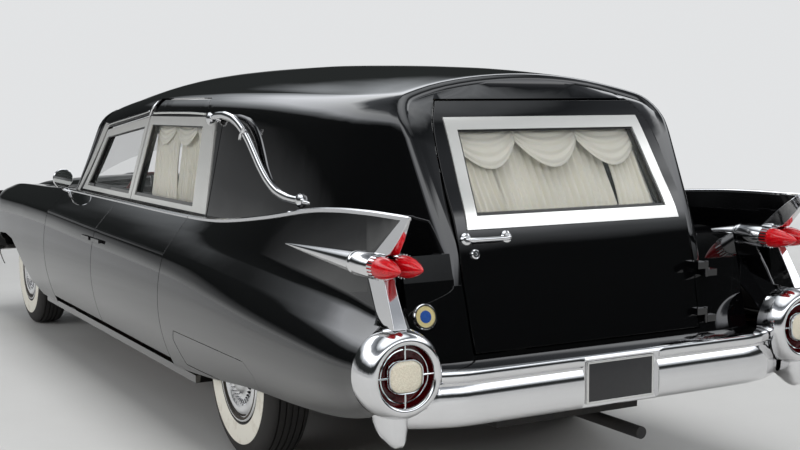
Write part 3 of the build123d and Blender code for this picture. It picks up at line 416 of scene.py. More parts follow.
def whiteRubber():
    f = Finish("whiteRubber", Specular_IOR_Level=0.4)
    scuff = f.noise(11, 6, 0.65)
    stained = f.ramp(scuff, (0.5, (0, 0, 0)), (0.78, (1, 1, 1)))
    f.put("Base Color", f.mix(stained, (0.82, 0.79, 0.7), (0.52, 0.46, 0.36)))
    f.put("Roughness", f.span(scuff, 0.42, 0.62))
    f.bump(f.noise(300, 3), 0.12, 0.001)
    return f.material


def drapeCloth():
    f = Finish("drapeCloth", Sheen_Weight=0.35, Sheen_Roughness=0.4, Specular_IOR_Level=0.2,
               Subsurface_Weight=0.1)
    f.shader.inputs["Subsurface Radius"].default_value = (0.01, 0.008, 0.005)
    threads = f.noise(1, 2, 0.5, stretch=(1400, 1400, 300))
    f.put("Base Color", f.mix(f.noise(7, 4) * 0.6 + threads * 0.4, (0.96, 0.94, 0.86), (0.88, 0.85, 0.74)))
    f.put("Roughness", f.span(threads, 0.7, 0.95))
    f.bump(threads, 0.25, 0.0006)
    return f.material


def hide(name, deep, light):
    f = Finish(name, Specular_IOR_Level=0.45)
    grain = f.node("ShaderNodeTexVoronoi", {}, {"Vector": f.where(), "Scale": 320})
    tone = f.noise(8, 4)
    f.put("Base Color", f.mix(tone * 0.7 + grain * 0.3, deep, light))
    f.put("Roughness", f.span(tone, 0.34, 0.55))
    f.bump(grain, 0.22, 0.0008)
    return f.material


def pile(name, dark, light):
    f = Finish(name, Sheen_Weight=0.3, Specular_IOR_Level=0.15, Roughness=0.95)
    tuft = f.noise(700, 3, 0.7)
    f.put("Base Color", f.mix(tuft * 0.6 + f.noise(5, 4) * 0.4, dark, light))
    f.bump(tuft, 0.6, 0.002)
    return f.material


def deckWood():
    f = Finish("deckWood", Coat_Weight=0.3, Coat_Roughness=0.15)
    grain = f.noise(3, 6, 0.6, stretch=(1.2, 22, 22))
    rings = f.noise(24, 3, 0.5, stretch=(0.6, 14, 14))
    f.put("Base Color", f.mix(grain * 0.65 + rings * 0.35, (0.1, 0.045, 0.02), (0.24, 0.12, 0.055)))
    f.put("Roughness", f.span(rings, 0.28, 0.45))
    f.bump(rings, 0.1, 0.001)
    return f.material


def roadPaint(name, base, dirt):
    f = Finish(name)
    soil = f.noise(6, 7, 0.68)
    fine = f.noise(70, 4, 0.6)
    f.put("Base Color", f.mix(f.ramp(soil * 0.7 + fine * 0.3, (0.38, (0, 0, 0)), (0.66, (1, 1, 1))), base,
                              dirt))
    f.put("Roughness", f.span(soil, 0.6, 0.92))
    f.bump(fine, 0.3, 0.0015)
    return f.material


def coreFins():
    f = Finish("coreFins", Metallic=0.6)
    ribs = f.node("ShaderNodeTexWave", {"bands_direction": "Z"}, {"Vector": f.where(), "Scale": 90.0})
    # Base colour follows the ribs: darker in the valleys between fins is painted shade, lighter on the rib
    # crests
    f.put("Base Color", f.mix(ribs, (0.02, 0.02, 0.02), (0.16, 0.16, 0.15)))
    f.put("Roughness", f.span(ribs, 0.7, 0.4))
    f.bump(ribs, 0.6, 0.003)
    return f.material


def enamel(name, color, rough=0.25):
    f = Finish(name, color, Coat_Weight=0.5, Coat_Roughness=0.05)
    mottle = f.noise(40, 4)
    f.put("Base Color", f.mix(mottle, color, tuple(c * 0.8 for c in color)))
    f.put("Roughness", f.span(mottle, rough, rough * 1.6))
    return f.material


paint = glossBlack()
plating = chrome()
brightAlloy = chrome("brightAlloy", (0.93, 0.93, 0.9), 0.17, 1.25, 0.004, 0.6)
steel = brightSteel()
clearGlass = paneGlass("clearGlass", (0.12, 0.135, 0.13), 0.13)
lampGlass = lensPlastic("lampGlass", (0.62, 0.61, 0.56), (0.86, 0.85, 0.8), 150, 0.05, 0.5)
creamLens = lensPlastic("creamLens", (0.66, 0.6, 0.47), (0.82, 0.77, 0.63), 220, 0.1, 0.3)
redLens = lensPlastic("redLens", (0.34, 0.001, 0.003), (0.66, 0.004, 0.01), 190, 0.04, 0.05)
darkRed = lensPlastic("darkRed", (0.045, 0.0, 0.002), (0.16, 0.003, 0.005), 240, 0.08, 0.4)
rubber = tyreRubber()
whiteBand = whiteRubber()
sealRubber = enamel("sealRubber", (0.012, 0.012, 0.012), 0.5)
cloth = drapeCloth()
maroonHide = hide("maroonHide", (0.13, 0.008, 0.01), (0.24, 0.016, 0.018))
maroonPaint = enamel("maroonPaint", (0.17, 0.01, 0.013), 0.3)
maroonPile = pile("maroonPile", (0.05, 0.006, 0.007), (0.14, 0.018, 0.02))
wood = deckWood()
chassisBlack = roadPaint("chassisBlack", (0.014, 0.014, 0.014), (0.1, 0.082, 0.062))
ironPaint = roadPaint("ironPaint", (0.018, 0.018, 0.019), (0.045, 0.04, 0.035))
coreMaterial = coreFins()
plateBlack = enamel("plateBlack", (0.01, 0.01, 0.012), 0.35)
badgeBlue = enamel("badgeBlue", (0.02, 0.09, 0.38), 0.2)
badgeCream = enamel("badgeCream", (0.72, 0.62, 0.3), 0.25)
dialBlack = enamel("dialBlack", (0.01, 0.01, 0.01), 0.4)
print("materials ready")


# Section tables, in millimetres

sideColumns = ("x", "innerY", "deckZ", "baseY", "capY", "topY", "topZ", "shoulderY", "shoulderZ", "crestY",
               "crestZ", "midY", "midZ", "sillY", "sillZ")
sideRows = (
    (3080, 706, 905, 785, 800, 822, 912, 890, 885, 945, 835, 975, 690, 950, 560),
    (2900, 706, 935, 800, 815, 838, 942, 912, 910, 972, 858, 1006, 660, 955, 430),
    (2600, 706, 960, 815, 830, 852, 967, 930, 925, 993, 872, 1026, 640, 962, 330),
    (1900, 706, 978, 825, 840, 866, 986, 934, 940, 1001, 882, 1032, 632, 958, 305),
    (1330, 738, 999.7, 830, 845, 869, 1001, 934, 942, 1003, 881, 1033, 630, 957, 305),
    (1178, 745, 999.7, 830, 845, 870, 1002, 934, 942, 1003, 880, 1034, 630, 957, 305),
    (100, 760, 999.7, 832, 848, 872, 1002, 934, 934, 1002, 856, 1034, 630, 957, 305),
    (-1058, 760, 999.7, 835, 850, 875, 1004, 933, 930, 1001, 836, 1034, 630, 958, 308),
    (-1500, 760, 999.7, 842, 856, 879, 1022, 932, 924, 1000, 824, 1035, 628, 960, 335),
    (-2000, 756, 999.7, 850, 864, 884, 1075, 931, 906, 996, 800, 1038, 628, 962, 385),
    (-2450, 706, 999.7, 856, 868, 888, 1135, 929, 882, 990, 784, 1040, 630, 962, 412),
    (-2700, 630, 996, 858, 870, 889, 1153, 927, 862, 986, 778, 1043, 633, 956, 430),
    (-2850, 640, 905, 858, 870, 890, 1158, 925, 845, 982, 775, 1045, 636, 948, 448),
    (-2950, 770, 800, 856, 869, 890, 1160, 922, 828, 978, 772, 1044, 638, 940, 468),
    (-3070, 770, 700, 852, 867, 889, 1160, 918, 812, 972, 768, 1040, 640, 924, 499),
)
coachColumns = ("x", "baseY", "sideY", "sideZ", "cornerY", "cornerZ", "roofY", "roofZ", "crownZ")
coachRows = (
    (1420, 792, 706, 1330, 672, 1385, 585, 1425, 1535),
    (1100, 795, 722, 1365, 690, 1425, 602, 1468, 1585),
    (700, 798, 735, 1415, 705, 1478, 622, 1524, 1645),
    (100, 800, 741, 1462, 713, 1528, 638, 1575, 1702),
    (-900, 800, 742, 1476, 715, 1542, 640, 1588, 1716),
    (-1540, 800, 740, 1472, 712, 1537, 634, 1582, 1702),
    (-2100, 796, 730, 1458, 698, 1523, 618, 1570, 1678),
    (-2400, 772, 702, 1452, 668, 1517, 590, 1565, 1655),
    (-2620, 704, 640, 1448, 604, 1512, 530, 1562, 1630),
    (-2780, 642, 575, 1432, 540, 1490, 470, 1535, 1600),
    (-2960, 560, 500, 1405, 465, 1460, 400, 1500, 1555),
)
tailColumns = ("z", "faceX", "half")
tailRows = ((545, -3016, 505), (652, -2991, 514), (910, -2932, 530), (1098, -2883, 530), (1260, -2793, 526),
            (1450, -2680, 500), (1535, -2612, 452), (1600, -2550, 400))


def stationsFrom(a, b, step):
    count = max(1, round(abs(b - a) / step))
    return [a + (b - a) * k / count for k in range(count + 1)]


def rowAt(columns, rows, x):
    ordered = sorted(rows)
    x = min(max(x, ordered[0][0]), ordered[-1][0])
    for k in range(len(ordered) - 1):
        if ordered[k][0] <= x <= ordered[k + 1][0]:
            break
    a, b = ordered[k], ordered[k + 1]
    before = ordered[k - 1] if k > 0 else a
    after = ordered[k + 2] if k + 2 < len(ordered) else b
    span = b[0] - a[0]
    u = (x - a[0]) / span
    out = {columns[0]: x}
    for i in range(1, len(columns)):
        slopeA = (b[i] - before[i]) / (b[0] - before[0]) * span
        slopeB = (after[i] - a[i]) / (after[0] - a[0]) * span
        out[columns[i]] = ((2 * u ** 3 - 3 * u ** 2 + 1) * a[i] + (u ** 3 - 2 * u ** 2 + u) * slopeA
                           + (3 * u ** 2 - 2 * u ** 3) * b[i] + (u ** 3 - u ** 2) * slopeB)
    return out


def sideAt(x):
    return rowAt(sideColumns, sideRows, x)


def coachAt(x):
    return rowAt(coachColumns, coachRows, x)


def tailAt(z):
    return rowAt(tailColumns, tailRows, z)


def lofted(xs, sectionAt):
    sections = [sectionAt(x) for x in xs]
    return gridSkin(len(xs) - 1, len(sections[0]) - 1, lambda i, j: Vector((xs[i], *sections[i][j])) * mm)


def arcThrough(a, b, c, count):
    (ax, ay), (bx, by), (cx, cy) = a, b, c
    d = 2 * (ax * (by - cy) + bx * (cy - ay) + cx * (ay - by))
    aa, bb, cc = ax * ax + ay * ay, bx * bx + by * by, cx * cx + cy * cy
    ux = (aa * (by - cy) + bb * (cy - ay) + cc * (ay - by)) / d
    uy = (aa * (cx - bx) + bb * (ax - cx) + cc * (bx - ax)) / d
    radius = math.hypot(ax - ux, ay - uy)
    start, middle, end = (math.atan2(py - uy, px - ux) for px, py in (a, b, c))
    turn = (end - start) % (2 * math.pi)
    if (middle - start) % (2 * math.pi) > turn:
        turn -= 2 * math.pi
    return [(ux + radius * math.cos(start + turn * k / count),
             uy + radius * math.sin(start + turn * k / count))
            for k in range(1, count)]


def softened(points, reaches, count=5):
    out = []
    for k, point in enumerate(points):
        reach = reaches.get(k, 0)
        if not reach:
            out.append(point)
            continue
        (px, py), (qx, qy), (rx, ry) = points[k - 1], point, points[(k + 1) % len(points)]
        lengthA, lengthB = math.hypot(px - qx, py - qy), math.hypot(rx - qx, ry - qy)
        a = min(reach, lengthA * rounding["cornerShare"]) / lengthA
        b = min(reach, lengthB * rounding["cornerShare"]) / lengthB
        start = (qx + (px - qx) * a, qy + (py - qy) * a)
        end = (qx + (rx - qx) * b, qy + (ry - qy) * b)
        for j in range(count + 1):
            u = j / count
            out.append(tuple((1 - u) ** 2 * start[i] + 2 * u * (1 - u) * (qx, qy)[i] + u * u * end[i]
                             for i in (0, 1)))
    return out


# Body sides

bodySide = {
    "archFrom": 0.6, "openingFrom": 0.8, "notchFrom": 0.5, "skirtFrom": 0.9,
    "proud": 1.2, "wall": 0.006, "skin": 0.005, "step": 55, "frontSeam": 1178, "midSeam": 100,
    "rearSeam": -1058, "seamHalf": 2.6, "frontEnd": 3080, "rearEnd": -3175, "doorSill": 0.345,
    "edge": 0.0022, "doorEdge": 0.0018, "skirt": (-1150, -2200, 0.4), "skirtGap": 3.5, "arcSteps": 12,
    "cutOut": 1.2, "reaches": {2: 5, 3: 7, 4: 30, 5: 26},
    "arch": ((1535, 250), (1545, 303), (1740, 372), (1880, 472), (2010, 565), (2130, 622), (2320, 642),
        (2530, 632), (2660, 560), (2740, 470), (2790, 250)),
    "opening": ((-1210, 462), (-1242, 508), (-2085, 516), (-2146, 470), (-2110, 352), (-1284, 352)),
    "notch": ((-3300, 1200), (-3170, 1180), (-2966, 1026), (-2950, 1024), (-2938, 946), (-3040, 800),
        (-3070, 800), (-3070, 250), (-3300, 250))
}


def sideSection(x, proud):
    r = sideAt(x)
    crest, mid = (r["crestY"] + proud, r["crestZ"]), (r["midY"] + proud, r["midZ"])
    sill = (r["sillY"] + proud, r["sillZ"])
    points = [(r["innerY"], r["deckZ"]), (r["baseY"], r["deckZ"]), (r["capY"], r["topZ"] + proud),
              (r["topY"], r["topZ"] + proud), (r["shoulderY"] + proud, r["shoulderZ"] + proud), crest]
    points += arcThrough(crest, mid, sill, bodySide["arcSteps"]) + [sill]
    return softened(points, bodySide["reaches"])


def sideSkin(x0, x1, proud=bodySide["proud"]):
    return lofted(stationsFrom(x0, x1, bodySide["step"]), lambda x: sideSection(x, proud))


def polygonPrism(outline, low, high):
    return prism([(x * mm, z * mm) for x, z in outline], 1, low, high)


def pairedPrism(outline, low, high):
    return joined(polygonPrism(outline, low, high), mirrored(polygonPrism(outline, low, high)))


def insetOutline(outline, distance):
    count = len(outline)
    area = sum(outline[i][0] * outline[(i + 1) % count][1] - outline[(i + 1) % count][0] * outline[i][1]
               for i in range(count))
    side = 1 if area > 0 else -1
    lines = []
    for i in range(count):
        (ax, az), (bx, bz) = outline[i], outline[(i + 1) % count]
        length = math.hypot(bx - ax, bz - az)
        nx, nz = -(bz - az) / length * side, (bx - ax) / length * side
        lines.append((ax + nx * distance, az + nz * distance, bx - ax, bz - az))
    out = []
    for i in range(count):
        px, pz, dx, dz = lines[i - 1]
        qx, qz, ex, ez = lines[i]
        u = ((qx - px) * ez - (qz - pz) * ex) / (dx * ez - dz * ex)
        out.append((px + u * dx, pz + u * dz))
    return out


def makeSides():
    s = bodySide
    fender = shelled(sideSkin(s["frontSeam"] + s["seamHalf"], s["frontEnd"]), s["wall"])
    fender = carve(fender, polygonPrism(s["arch"], s["archFrom"], s["cutOut"]))
    quarter = shelled(sideSkin(s["rearSeam"] - s["seamHalf"], s["rearEnd"]), s["wall"])
    quarter = carve(quarter, polygonPrism(s["opening"], s["openingFrom"], s["cutOut"]))
    quarter = carve(quarter, polygonPrism(s["notch"], s["notchFrom"], s["cutOut"]), folded=True)
    skirt = shelled(sideSkin(*s["skirt"]), s["wall"])
    skirt = carve(skirt, polygonPrism(insetOutline(s["opening"], s["skirtGap"]), s["skirtFrom"],
                                      s["cutOut"]), "INTERSECT")
    quarter = joined(quarter, skirt)
    frontDoor = sideSkin(s["midSeam"] + s["seamHalf"], s["frontSeam"] - s["seamHalf"])
    rearDoor = sideSkin(s["rearSeam"] + s["seamHalf"], s["midSeam"] - s["seamHalf"])
    for skin in (frontDoor, rearDoor):
        bmesh.ops.bisect_plane(skin, geom=skin.verts[:] + skin.edges[:] + skin.faces[:],
                               plane_co=(0, 0, s["doorSill"]), plane_no=(0, 0, -1), clear_outer=True)
        shelled(skin, s["skin"])
    for side, hand in hands:
        for name, bm, body, edge in (("fenderPanel", fender, "car_body", s["edge"]),
                                     ("quarterPanel", quarter, "car_body", s["edge"]),
                                     ("frontDoorSkin", frontDoor, f"front_{hand}_door_leaf", s["doorEdge"]),
                                     ("rearDoorSkin", rearDoor, f"rear_{hand}_door_leaf", s["doorEdge"])):
            newPiece(f"{name}_{hand}", sided(bm.copy(), side), paint, body, bevel=edge)
    for bm in (fender, quarter, frontDoor, rearDoor):
        bm.free()
    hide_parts("front_fenders")
    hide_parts("quarters")


makeSides()
print("body sides made")


# Coach, from the belt up

coach = {
    "cornerSteps": 6, "tailGuess": 300, "tailTries": 30, "fanSteps": 8, "roundSteps": 6,
    "wall": 0.026, "stepX": 70, "front": 1420, "fan": -2300, "base": 1000, "pillarLean": (-230, 480),
    "mid": 100,
    "frontHole": ((1182, 940), (1182, 1000), (712, 1396), (-107.9, 1480), (122, 1000), (122, 940)),
    "rearHole": ((78, 940), (78, 1000), (-159.6, 1500), (-150, 1562), (-925, 1562), (-1012, 1483),
        (-1196, 1448), (-1098, 1000), (-1098, 940)),
    "screenCut": ((1290, 830), 1715, (492, 830), 848, 959, 1740, 2200), "crownSteps": 9, "rearRound": 28,
    "rearInsets": (50, 100, 165), "edge": 0.003, "heart": (-0.9, 0, 1.1), "deckFrom": -2450,
    "underDeck": 30, "cornerReach": 40, "solidColumns": 30, "holeCut": (0.56, 1.1),
    "insetShare": {"side": 0.25, "cornerY": 0.85, "cornerZ": 0.55, "roofY": 0.45, "roofZ": 0.9},
    "footLean": 0.17, "tailCrown": (5, 560), "holeGap": 6, "holeLean": (3004, 540), "holeReach": (40, 120),
    "holeLevels": (644, 652, 780, 910, 1000, 1098, 1180, 1260, 1360, 1450, 1500, 1543)
}


def coachSection(x, inset=0):
    r = coachAt(x)
    share = coach["insetShare"]
    base, side = (r["baseY"] - inset, coach["base"]), (r["sideY"] - inset,
                                                       r["sideZ"] - inset * share["side"])
    corner = (r["cornerY"] - inset * share["cornerY"], r["cornerZ"] - inset * share["cornerZ"])
    roof = (r["roofY"] - inset * share["roofY"], r["roofZ"] - inset * share["roofZ"])
    crown = (0, r["crownZ"] - inset)
    half = [base, side] + arcThrough(side, corner, roof, coach["cornerSteps"]) + [roof]
    bend = coach["cornerSteps"] + 2
    half += arcThrough(roof, crown, (-roof[0], roof[1]), 2 * coach["crownSteps"])
    whole = half + [(-y, z) for y, z in reversed(half[:bend])]
    low = (r["baseY"] - inset + (coach["base"] - lowEdge(x)) * coach["footLean"], lowEdge(x))
    whole = [low] + whole + [(-low[0], low[1])]
    turns = (2, bend, len(whole) - 3, len(whole) - bend - 1)
    return softened(whole, {k: coach["cornerReach"] for k in turns}, 4)


def lowEdge(x):
    if x > coach["deckFrom"]:
        return coach["base"] - 2
    return sideAt(x)["deckZ"] - coach["underDeck"]


def coachY(x, z, inset=0):
    r = coachAt(x)
    low, high = r["baseY"] - inset, r["sideY"] - inset
    top = r["sideZ"] - inset * coach["insetShare"]["side"]
    return low + (high - low) * (z - coach["base"]) / (top - coach["base"])


def tailX(y, z):
    rise, reach = coach["tailCrown"]
    return tailAt(z)["faceX"] - rise * (1 - min(1, abs(y) / reach) ** 2)


def screenCutter(corner, middle, cornerTop, middleTop, lowZ, highZ, forward, thickness=None):
    bm = bmesh.new()
    count = 24
    rings = []
    for (cx, cy), mx, z in ((corner, middle, lowZ), (cornerTop, middleTop, highZ)):
        arc = [(cx, -cy)] + arcThrough((cx, -cy), (mx, 0), (cx, cy), count) + [(cx, cy)]
        back = [(forward, cy), (forward, -cy)]
        if thickness:
            back = [(x - thickness, y) for x, y in reversed(arc)]
        rings.append([bm.verts.new((x * mm, y * mm, z * mm)) for x, y in arc + back])
    bm.faces.new(rings[0])
    bm.faces.new(rings[1])
    edges = [bm.edges.get((ring[k], ring[(k + 1) % len(ring)])) for ring in rings for k in range(len(ring))]
    bmesh.ops.bridge_loops(bm, edges=edges)
    bmesh.ops.recalc_face_normals(bm, faces=bm.faces)
    return bm


def tailHole():
    bm = bmesh.new()
    rings = []
    (leanX, leanY), (outside, inside) = coach["holeLean"], coach["holeReach"]
    for z in coach["holeLevels"]:
        r = tailAt(z)
        lean = (r["faceX"] + leanX) / (r["half"] + leanY)
        edge = r["half"] + coach["holeGap"]
        behind, ahead = r["faceX"] - outside, r["faceX"] + inside
        corners = ((behind, -edge), (behind, edge + lean * outside), (ahead, edge - lean * inside),
                   (ahead, -edge))
        rings.append([bm.verts.new((x * mm, y * mm, z * mm)) for x, y in corners])
    for near, far in zip(rings, rings[1:]):
        for k in range(4):
            bm.faces.new((near[k], near[(k + 1) % 4], far[(k + 1) % 4], far[k]))
    bm.faces.new(rings[0])
    bm.faces.new(rings[-1])
    bmesh.ops.recalc_face_normals(bm, faces=bm.faces)
    return bm


def closedCoach(x0, x1, inset):
    def ring(x):
        section = coachSection(x, inset)
        return section + section[:1]

    return sealed(lofted(stationsFrom(x0, x1, abs(x1 - x0) / coach["solidColumns"]), ring))


def coachSkin():
    c = coach
    straight = stationsFrom(c["front"], c["fan"], c["stepX"])
    lines = []
    for j in range(len(coachSection(c["front"]))):
        end = c["fan"] - c["tailGuess"]
        for _ in range(c["tailTries"]):
            end = tailX(*coachSection(end)[j])
        last = end + c["rearRound"]
        line = [(x, *coachSection(x)[j]) for x in straight]
        fanned = stationsFrom(c["fan"], last, (c["fan"] - last) / c["fanSteps"])
        line += [(x, *coachSection(x)[j]) for x in fanned[1:]]
        for k in range(1, c["roundSteps"] + 1):
            turn = math.radians(90 / c["roundSteps"] * k)
            x = last - c["rearRound"] * math.sin(turn)
            line.append((x, *coachSection(x, c["rearRound"] * (1 - math.cos(turn)))[j]))
        for inset in c["rearInsets"]:
            y, z = coachSection(end, inset)[j]
            line.append((tailX(y, z), y, z))
        lines.append(line)
    return gridSkin(len(lines[0]) - 1, len(lines) - 1, lambda i, j: Vector(lines[j][i]) * mm)


def makeCoach():
    c = coach
    shell = shelled(coachSkin(), c["wall"], c["heart"])
    shell = carve(shell, screenCutter(*c["screenCut"]))
    for outline in (c["frontHole"], c["rearHole"]):
        shell = carve(shell, pairedPrism(outline, *c["holeCut"]))
    shell = carve(shell, tailHole(), folded=True)
    newPiece("coachPanel", shell, paint, "car_body", replaces=["coach_shell"], bevel=c["edge"])


makeCoach()
print("coach made")


# Rear door, its window and the panels beside it

tail = {
    "skinEdge": 0.0022, "frameEdge": 0.004, "sealEdge": 0.002, "cornerEdge": 0.003, "cornerSteps": (14, 30),
    "low": 652, "high": 1535, "proud": 3, "skin": 0.012,
    "window": ((-455, 1108), (455, 1108), (425, 1445), (-425, 1445)), "cut": (-3.3, -2.3), "frameOut": 30,
    "frameIn": 16, "frameProud": 9, "frameWall": 0.022, "frameSpan": (1050, 1500), "frameHalf": 520,
    "sealDeep": 8, "sealWall": 0.026, "sealOver": 2, "sealIn": 9, "glassSpan": (1080, 1470),
    "glassHalf": 480, "glassDepth": 8, "glassWall": 0.005, "glassOver": 4, "cornerEnd": 766,
    "cornerTop": 572, "cornerProud": 0.6, "cornerRise": (800, 85), "cornerOver": 8,
    "cornerSpan": (562, 890), "cornerWall": 0.018
}


def tailSkin(z0, z1, yAt, proud, columns=30, rows=40):
    def place(i, j):
        z = z0 + (z1 - z0) * j / rows
        low, high = yAt(z)
        y = low + (high - low) * i / columns
        return Vector((tailX(y, z) - proud, y, z)) * mm
    return gridSkin(columns, rows, place)


def xPrism(outline):
    return prism([(y * mm, z * mm) for y, z in outline], 0, *tail["cut"])


def wholeReach(z):
    return -tailAt(z)["half"], tailAt(z)["half"]


def evenReach(half):
    return lambda z: (-half, half)


def cornerReach(z):
    t = tail
    u = min(1, max(0, (z - t["cornerRise"][0]) / t["cornerRise"][1]))
    ease = u * u * (3 - 2 * u)
    return tailAt(z)["half"] + t["cornerOver"], t["cornerEnd"] + (t["cornerTop"] - t["cornerEnd"]) * ease


def makeTail():
    t = tail
    panel = shelled(tailSkin(t["low"], t["high"], wholeReach, t["proud"]), t["skin"])
    panel = carve(panel, xPrism(t["window"]))
    newPiece("tailDoorSkin", panel, paint, "loading_door", bevel=t["skinEdge"])
    ring = shelled(tailSkin(*t["frameSpan"], evenReach(t["frameHalf"]), t["frameProud"]), t["frameWall"])
    ring = carve(ring, xPrism(insetOutline(t["window"], -t["frameOut"])), "INTERSECT")
    ring = carve(ring, xPrism(insetOutline(t["window"], t["frameIn"])))
    newPiece("tailWindowFrame", ring, brightAlloy, "loading_door", bevel=t["frameEdge"])
    seal = shelled(tailSkin(*t["frameSpan"], evenReach(t["frameHalf"]), t["frameProud"] - t["sealDeep"]),
                   t["sealWall"])
    seal = carve(seal, xPrism(insetOutline(t["window"], t["frameIn"] - t["sealOver"])), "INTERSECT")
    seal = carve(seal, xPrism(insetOutline(t["window"], t["frameIn"] + t["sealIn"])))
    newPiece("tailWindowSeal", seal, sealRubber, "loading_door", bevel=t["sealEdge"])
    pane = shelled(tailSkin(*t["glassSpan"], evenReach(t["glassHalf"]), -t["glassDepth"]), t["glassWall"])
    pane = carve(pane, xPrism(insetOutline(t["window"], t["glassOver"])), "INTERSECT")
    newPiece("tailPane", pane, clearGlass, "loading_door", replaces=["tail_glass"])
    for side, hand in hands:
        corner = shelled(tailSkin(*t["cornerSpan"], cornerReach, t["cornerProud"], *t["cornerSteps"]),
                         t["cornerWall"])
        newPiece(f"tailCorner_{hand}", sided(corner, side), paint, "car_body", bevel=t["cornerEdge"])


makeTail()
print("rear door made")


# Windows and their bright frames

def pillarTop(z):
    return coach["mid"] + coach["pillarLean"][0] * max(0, z - coach["base"]) / coach["pillarLean"][1]


windows = {
    "frameEdge": 0.003,
    "front": ((1118, 1012), (705, 1385), (pillarTop(1466) + 5, 1466), (103, 1012)),
    "rear": ((97, 1012), (pillarTop(1470) - 5, 1470), (-1000, 1470), (-1108, 1449), (-1090, 1012)),
    "frontGlass": ((1139, 993), (705, 1385), (pillarTop(1466) + 5, 1466), (112, 993)),
    "rearGlass": ((106, 993), (pillarTop(1470) - 5, 1470), (-995, 1470), (-943, 993)),
    "frontSpan": (-160, 1160), "rearSpan": (-1230, 120), "frameWidth": 46, "frameGap": 1.5, "proud": -5,
    "thickness": 0.013, "sealDeep": 7, "sealOver": 3, "sealIn": 6, "glassInset": 17,
    "glassThickness": 0.005, "keep": (0.5, 1.1), "drop": (0.45, 1.15), "step": 40
}


def coachSlab(x0, x1, inset, thickness):
    return shelled(lofted(stationsFrom(x0, x1, windows["step"]), lambda x: coachSection(x, inset)),
                   thickness)


def makeWindows():
    w = windows
    for place in ("front", "rear"):
        span = w[place + "Span"]
        outer, inner = w[place], insetOutline(w[place + "Glass"], w["frameWidth"])
        ring = coachSlab(*span, w["proud"], w["thickness"])
        ring = carve(ring, polygonPrism(insetOutline(outer, w["frameGap"]), *w["keep"]), "INTERSECT")
        ring = carve(ring, polygonPrism(inner, *w["drop"]))
        seal = coachSlab(*span, w["proud"] + w["sealDeep"], w["thickness"])
        seal = carve(seal, polygonPrism(insetOutline(inner, -w["sealOver"]), *w["keep"]), "INTERSECT")
        seal = carve(seal, polygonPrism(insetOutline(inner, w["sealIn"]), *w["drop"]))
        pane = coachSlab(*span, w["glassInset"], w["glassThickness"])
        pane = carve(pane, polygonPrism(insetOutline(inner, -w["sealOver"]), *w["keep"]), "INTERSECT")
        for side, hand in hands:
            leaf = f"{place}_{hand}_door_leaf"
            newPiece(f"{place}WindowFrame_{hand}", sided(ring.copy(), side), brightAlloy, leaf,
                     bevel=w["frameEdge"])
            newPiece(f"{place}WindowSeal_{hand}", sided(seal.copy(), side), sealRubber, leaf)
            newPiece(f"{place}Pane_{hand}", sided(pane.copy(), side), clearGlass, leaf,
                     replaces=[f"{place}_{hand}_glass"])
        for bm in (ring, seal, pane):
            bm.free()


screen = {
    "borderCut": (30, 0), "edgeCut": (60, 60),
    "low": ((1290, 830), 1715, 998), "high": ((492, 830), 848, 1740), "glassHigh": ((600, 830), 965, 1640),
    "border": 42, "edgeBack": 2, "span": (1420, 560), "rim": (-4, 0.026), "trim": (-3.5, 0.016),
    "cut": (0.5, 1.2), "forward": 2300, "edge": 0.003, "glassBack": 6, "glassSpan": (1420, 400, 38),
    "pillar": ((1246, 1000), (1188, 1000), (722, 1392), (700, 1402), (690, 1420), (790, 1424))
}


def shiftedBack(corner, by):
    return corner[0] - by, corner[1]


def frameCutter(back, below, above):
    (lowCorner, lowMiddle, lowZ), (highCorner, highMiddle, highZ) = screen["low"], screen["high"]
    return screenCutter(shiftedBack(lowCorner, back), lowMiddle - back, shiftedBack(highCorner, back),
                        highMiddle - back, lowZ - below, highZ + above, screen["forward"])


def makeScreen():
    s = screen
    rim = coachSlab(*s["span"], *s["rim"])
    rim = carve(rim, frameCutter(s["border"], *s["borderCut"]), "INTERSECT")
    rim = carve(rim, frameCutter(s["edgeBack"], *s["edgeCut"]))
    rim = carve(rim, pairedPrism(coach["frontHole"], *s["cut"]))
    newPiece("screenFrame", rim, plating, "car_body", bevel=s["edge"])
    for side, hand in hands:
        trim = carve(coachSlab(*s["span"], *s["trim"]), polygonPrism(s["pillar"], *s["cut"]), "INTERSECT")
        newPiece(f"pillarTrim_{hand}", sided(trim, side), brightAlloy, "car_body", bevel=s["edge"])
    lowCorner, lowMiddle, _ = s["low"]
    corner, middle, high = s["glassHigh"]
    pane = screenCutter(lowCorner, lowMiddle, corner, middle, coach["base"], high, 0, s["glassBack"])
    pane = carve(pane, closedCoach(*s["glassSpan"]), "INTERSECT")
    newPiece("screenPane", pane, clearGlass, "car_body", replaces=["windscreen"])


makeWindows()
makeScreen()
print("windows made")


# Bright strips

def sweptBar(stations, loopAt):
    loops = [loopAt(station) for station in stations]
    for loop in loops:
        loop.append(loop[0])
    bm = gridSkin(len(stations) - 1, len(loops[0]) - 1, lambda i, j: Vector(loops[i][j]) * mm)
    return sealed(bm)


def beltLoop(x):
    s, r = strips, sideAt(x)
    near, far = s["beltOver"]
    inner, outer, z = r["capY"] + near, r["topY"] + far, r["topZ"]
    slim, start, reach = s["beltNarrow"]
    inner += (outer - slim - inner) * max(0, (start - x) / reach)
    loop = [(x, inner + y, z + up) for y, up in s["beltInner"]]
    return loop + [(x, outer + y, z + up) for y, up in s["beltOuter"]]


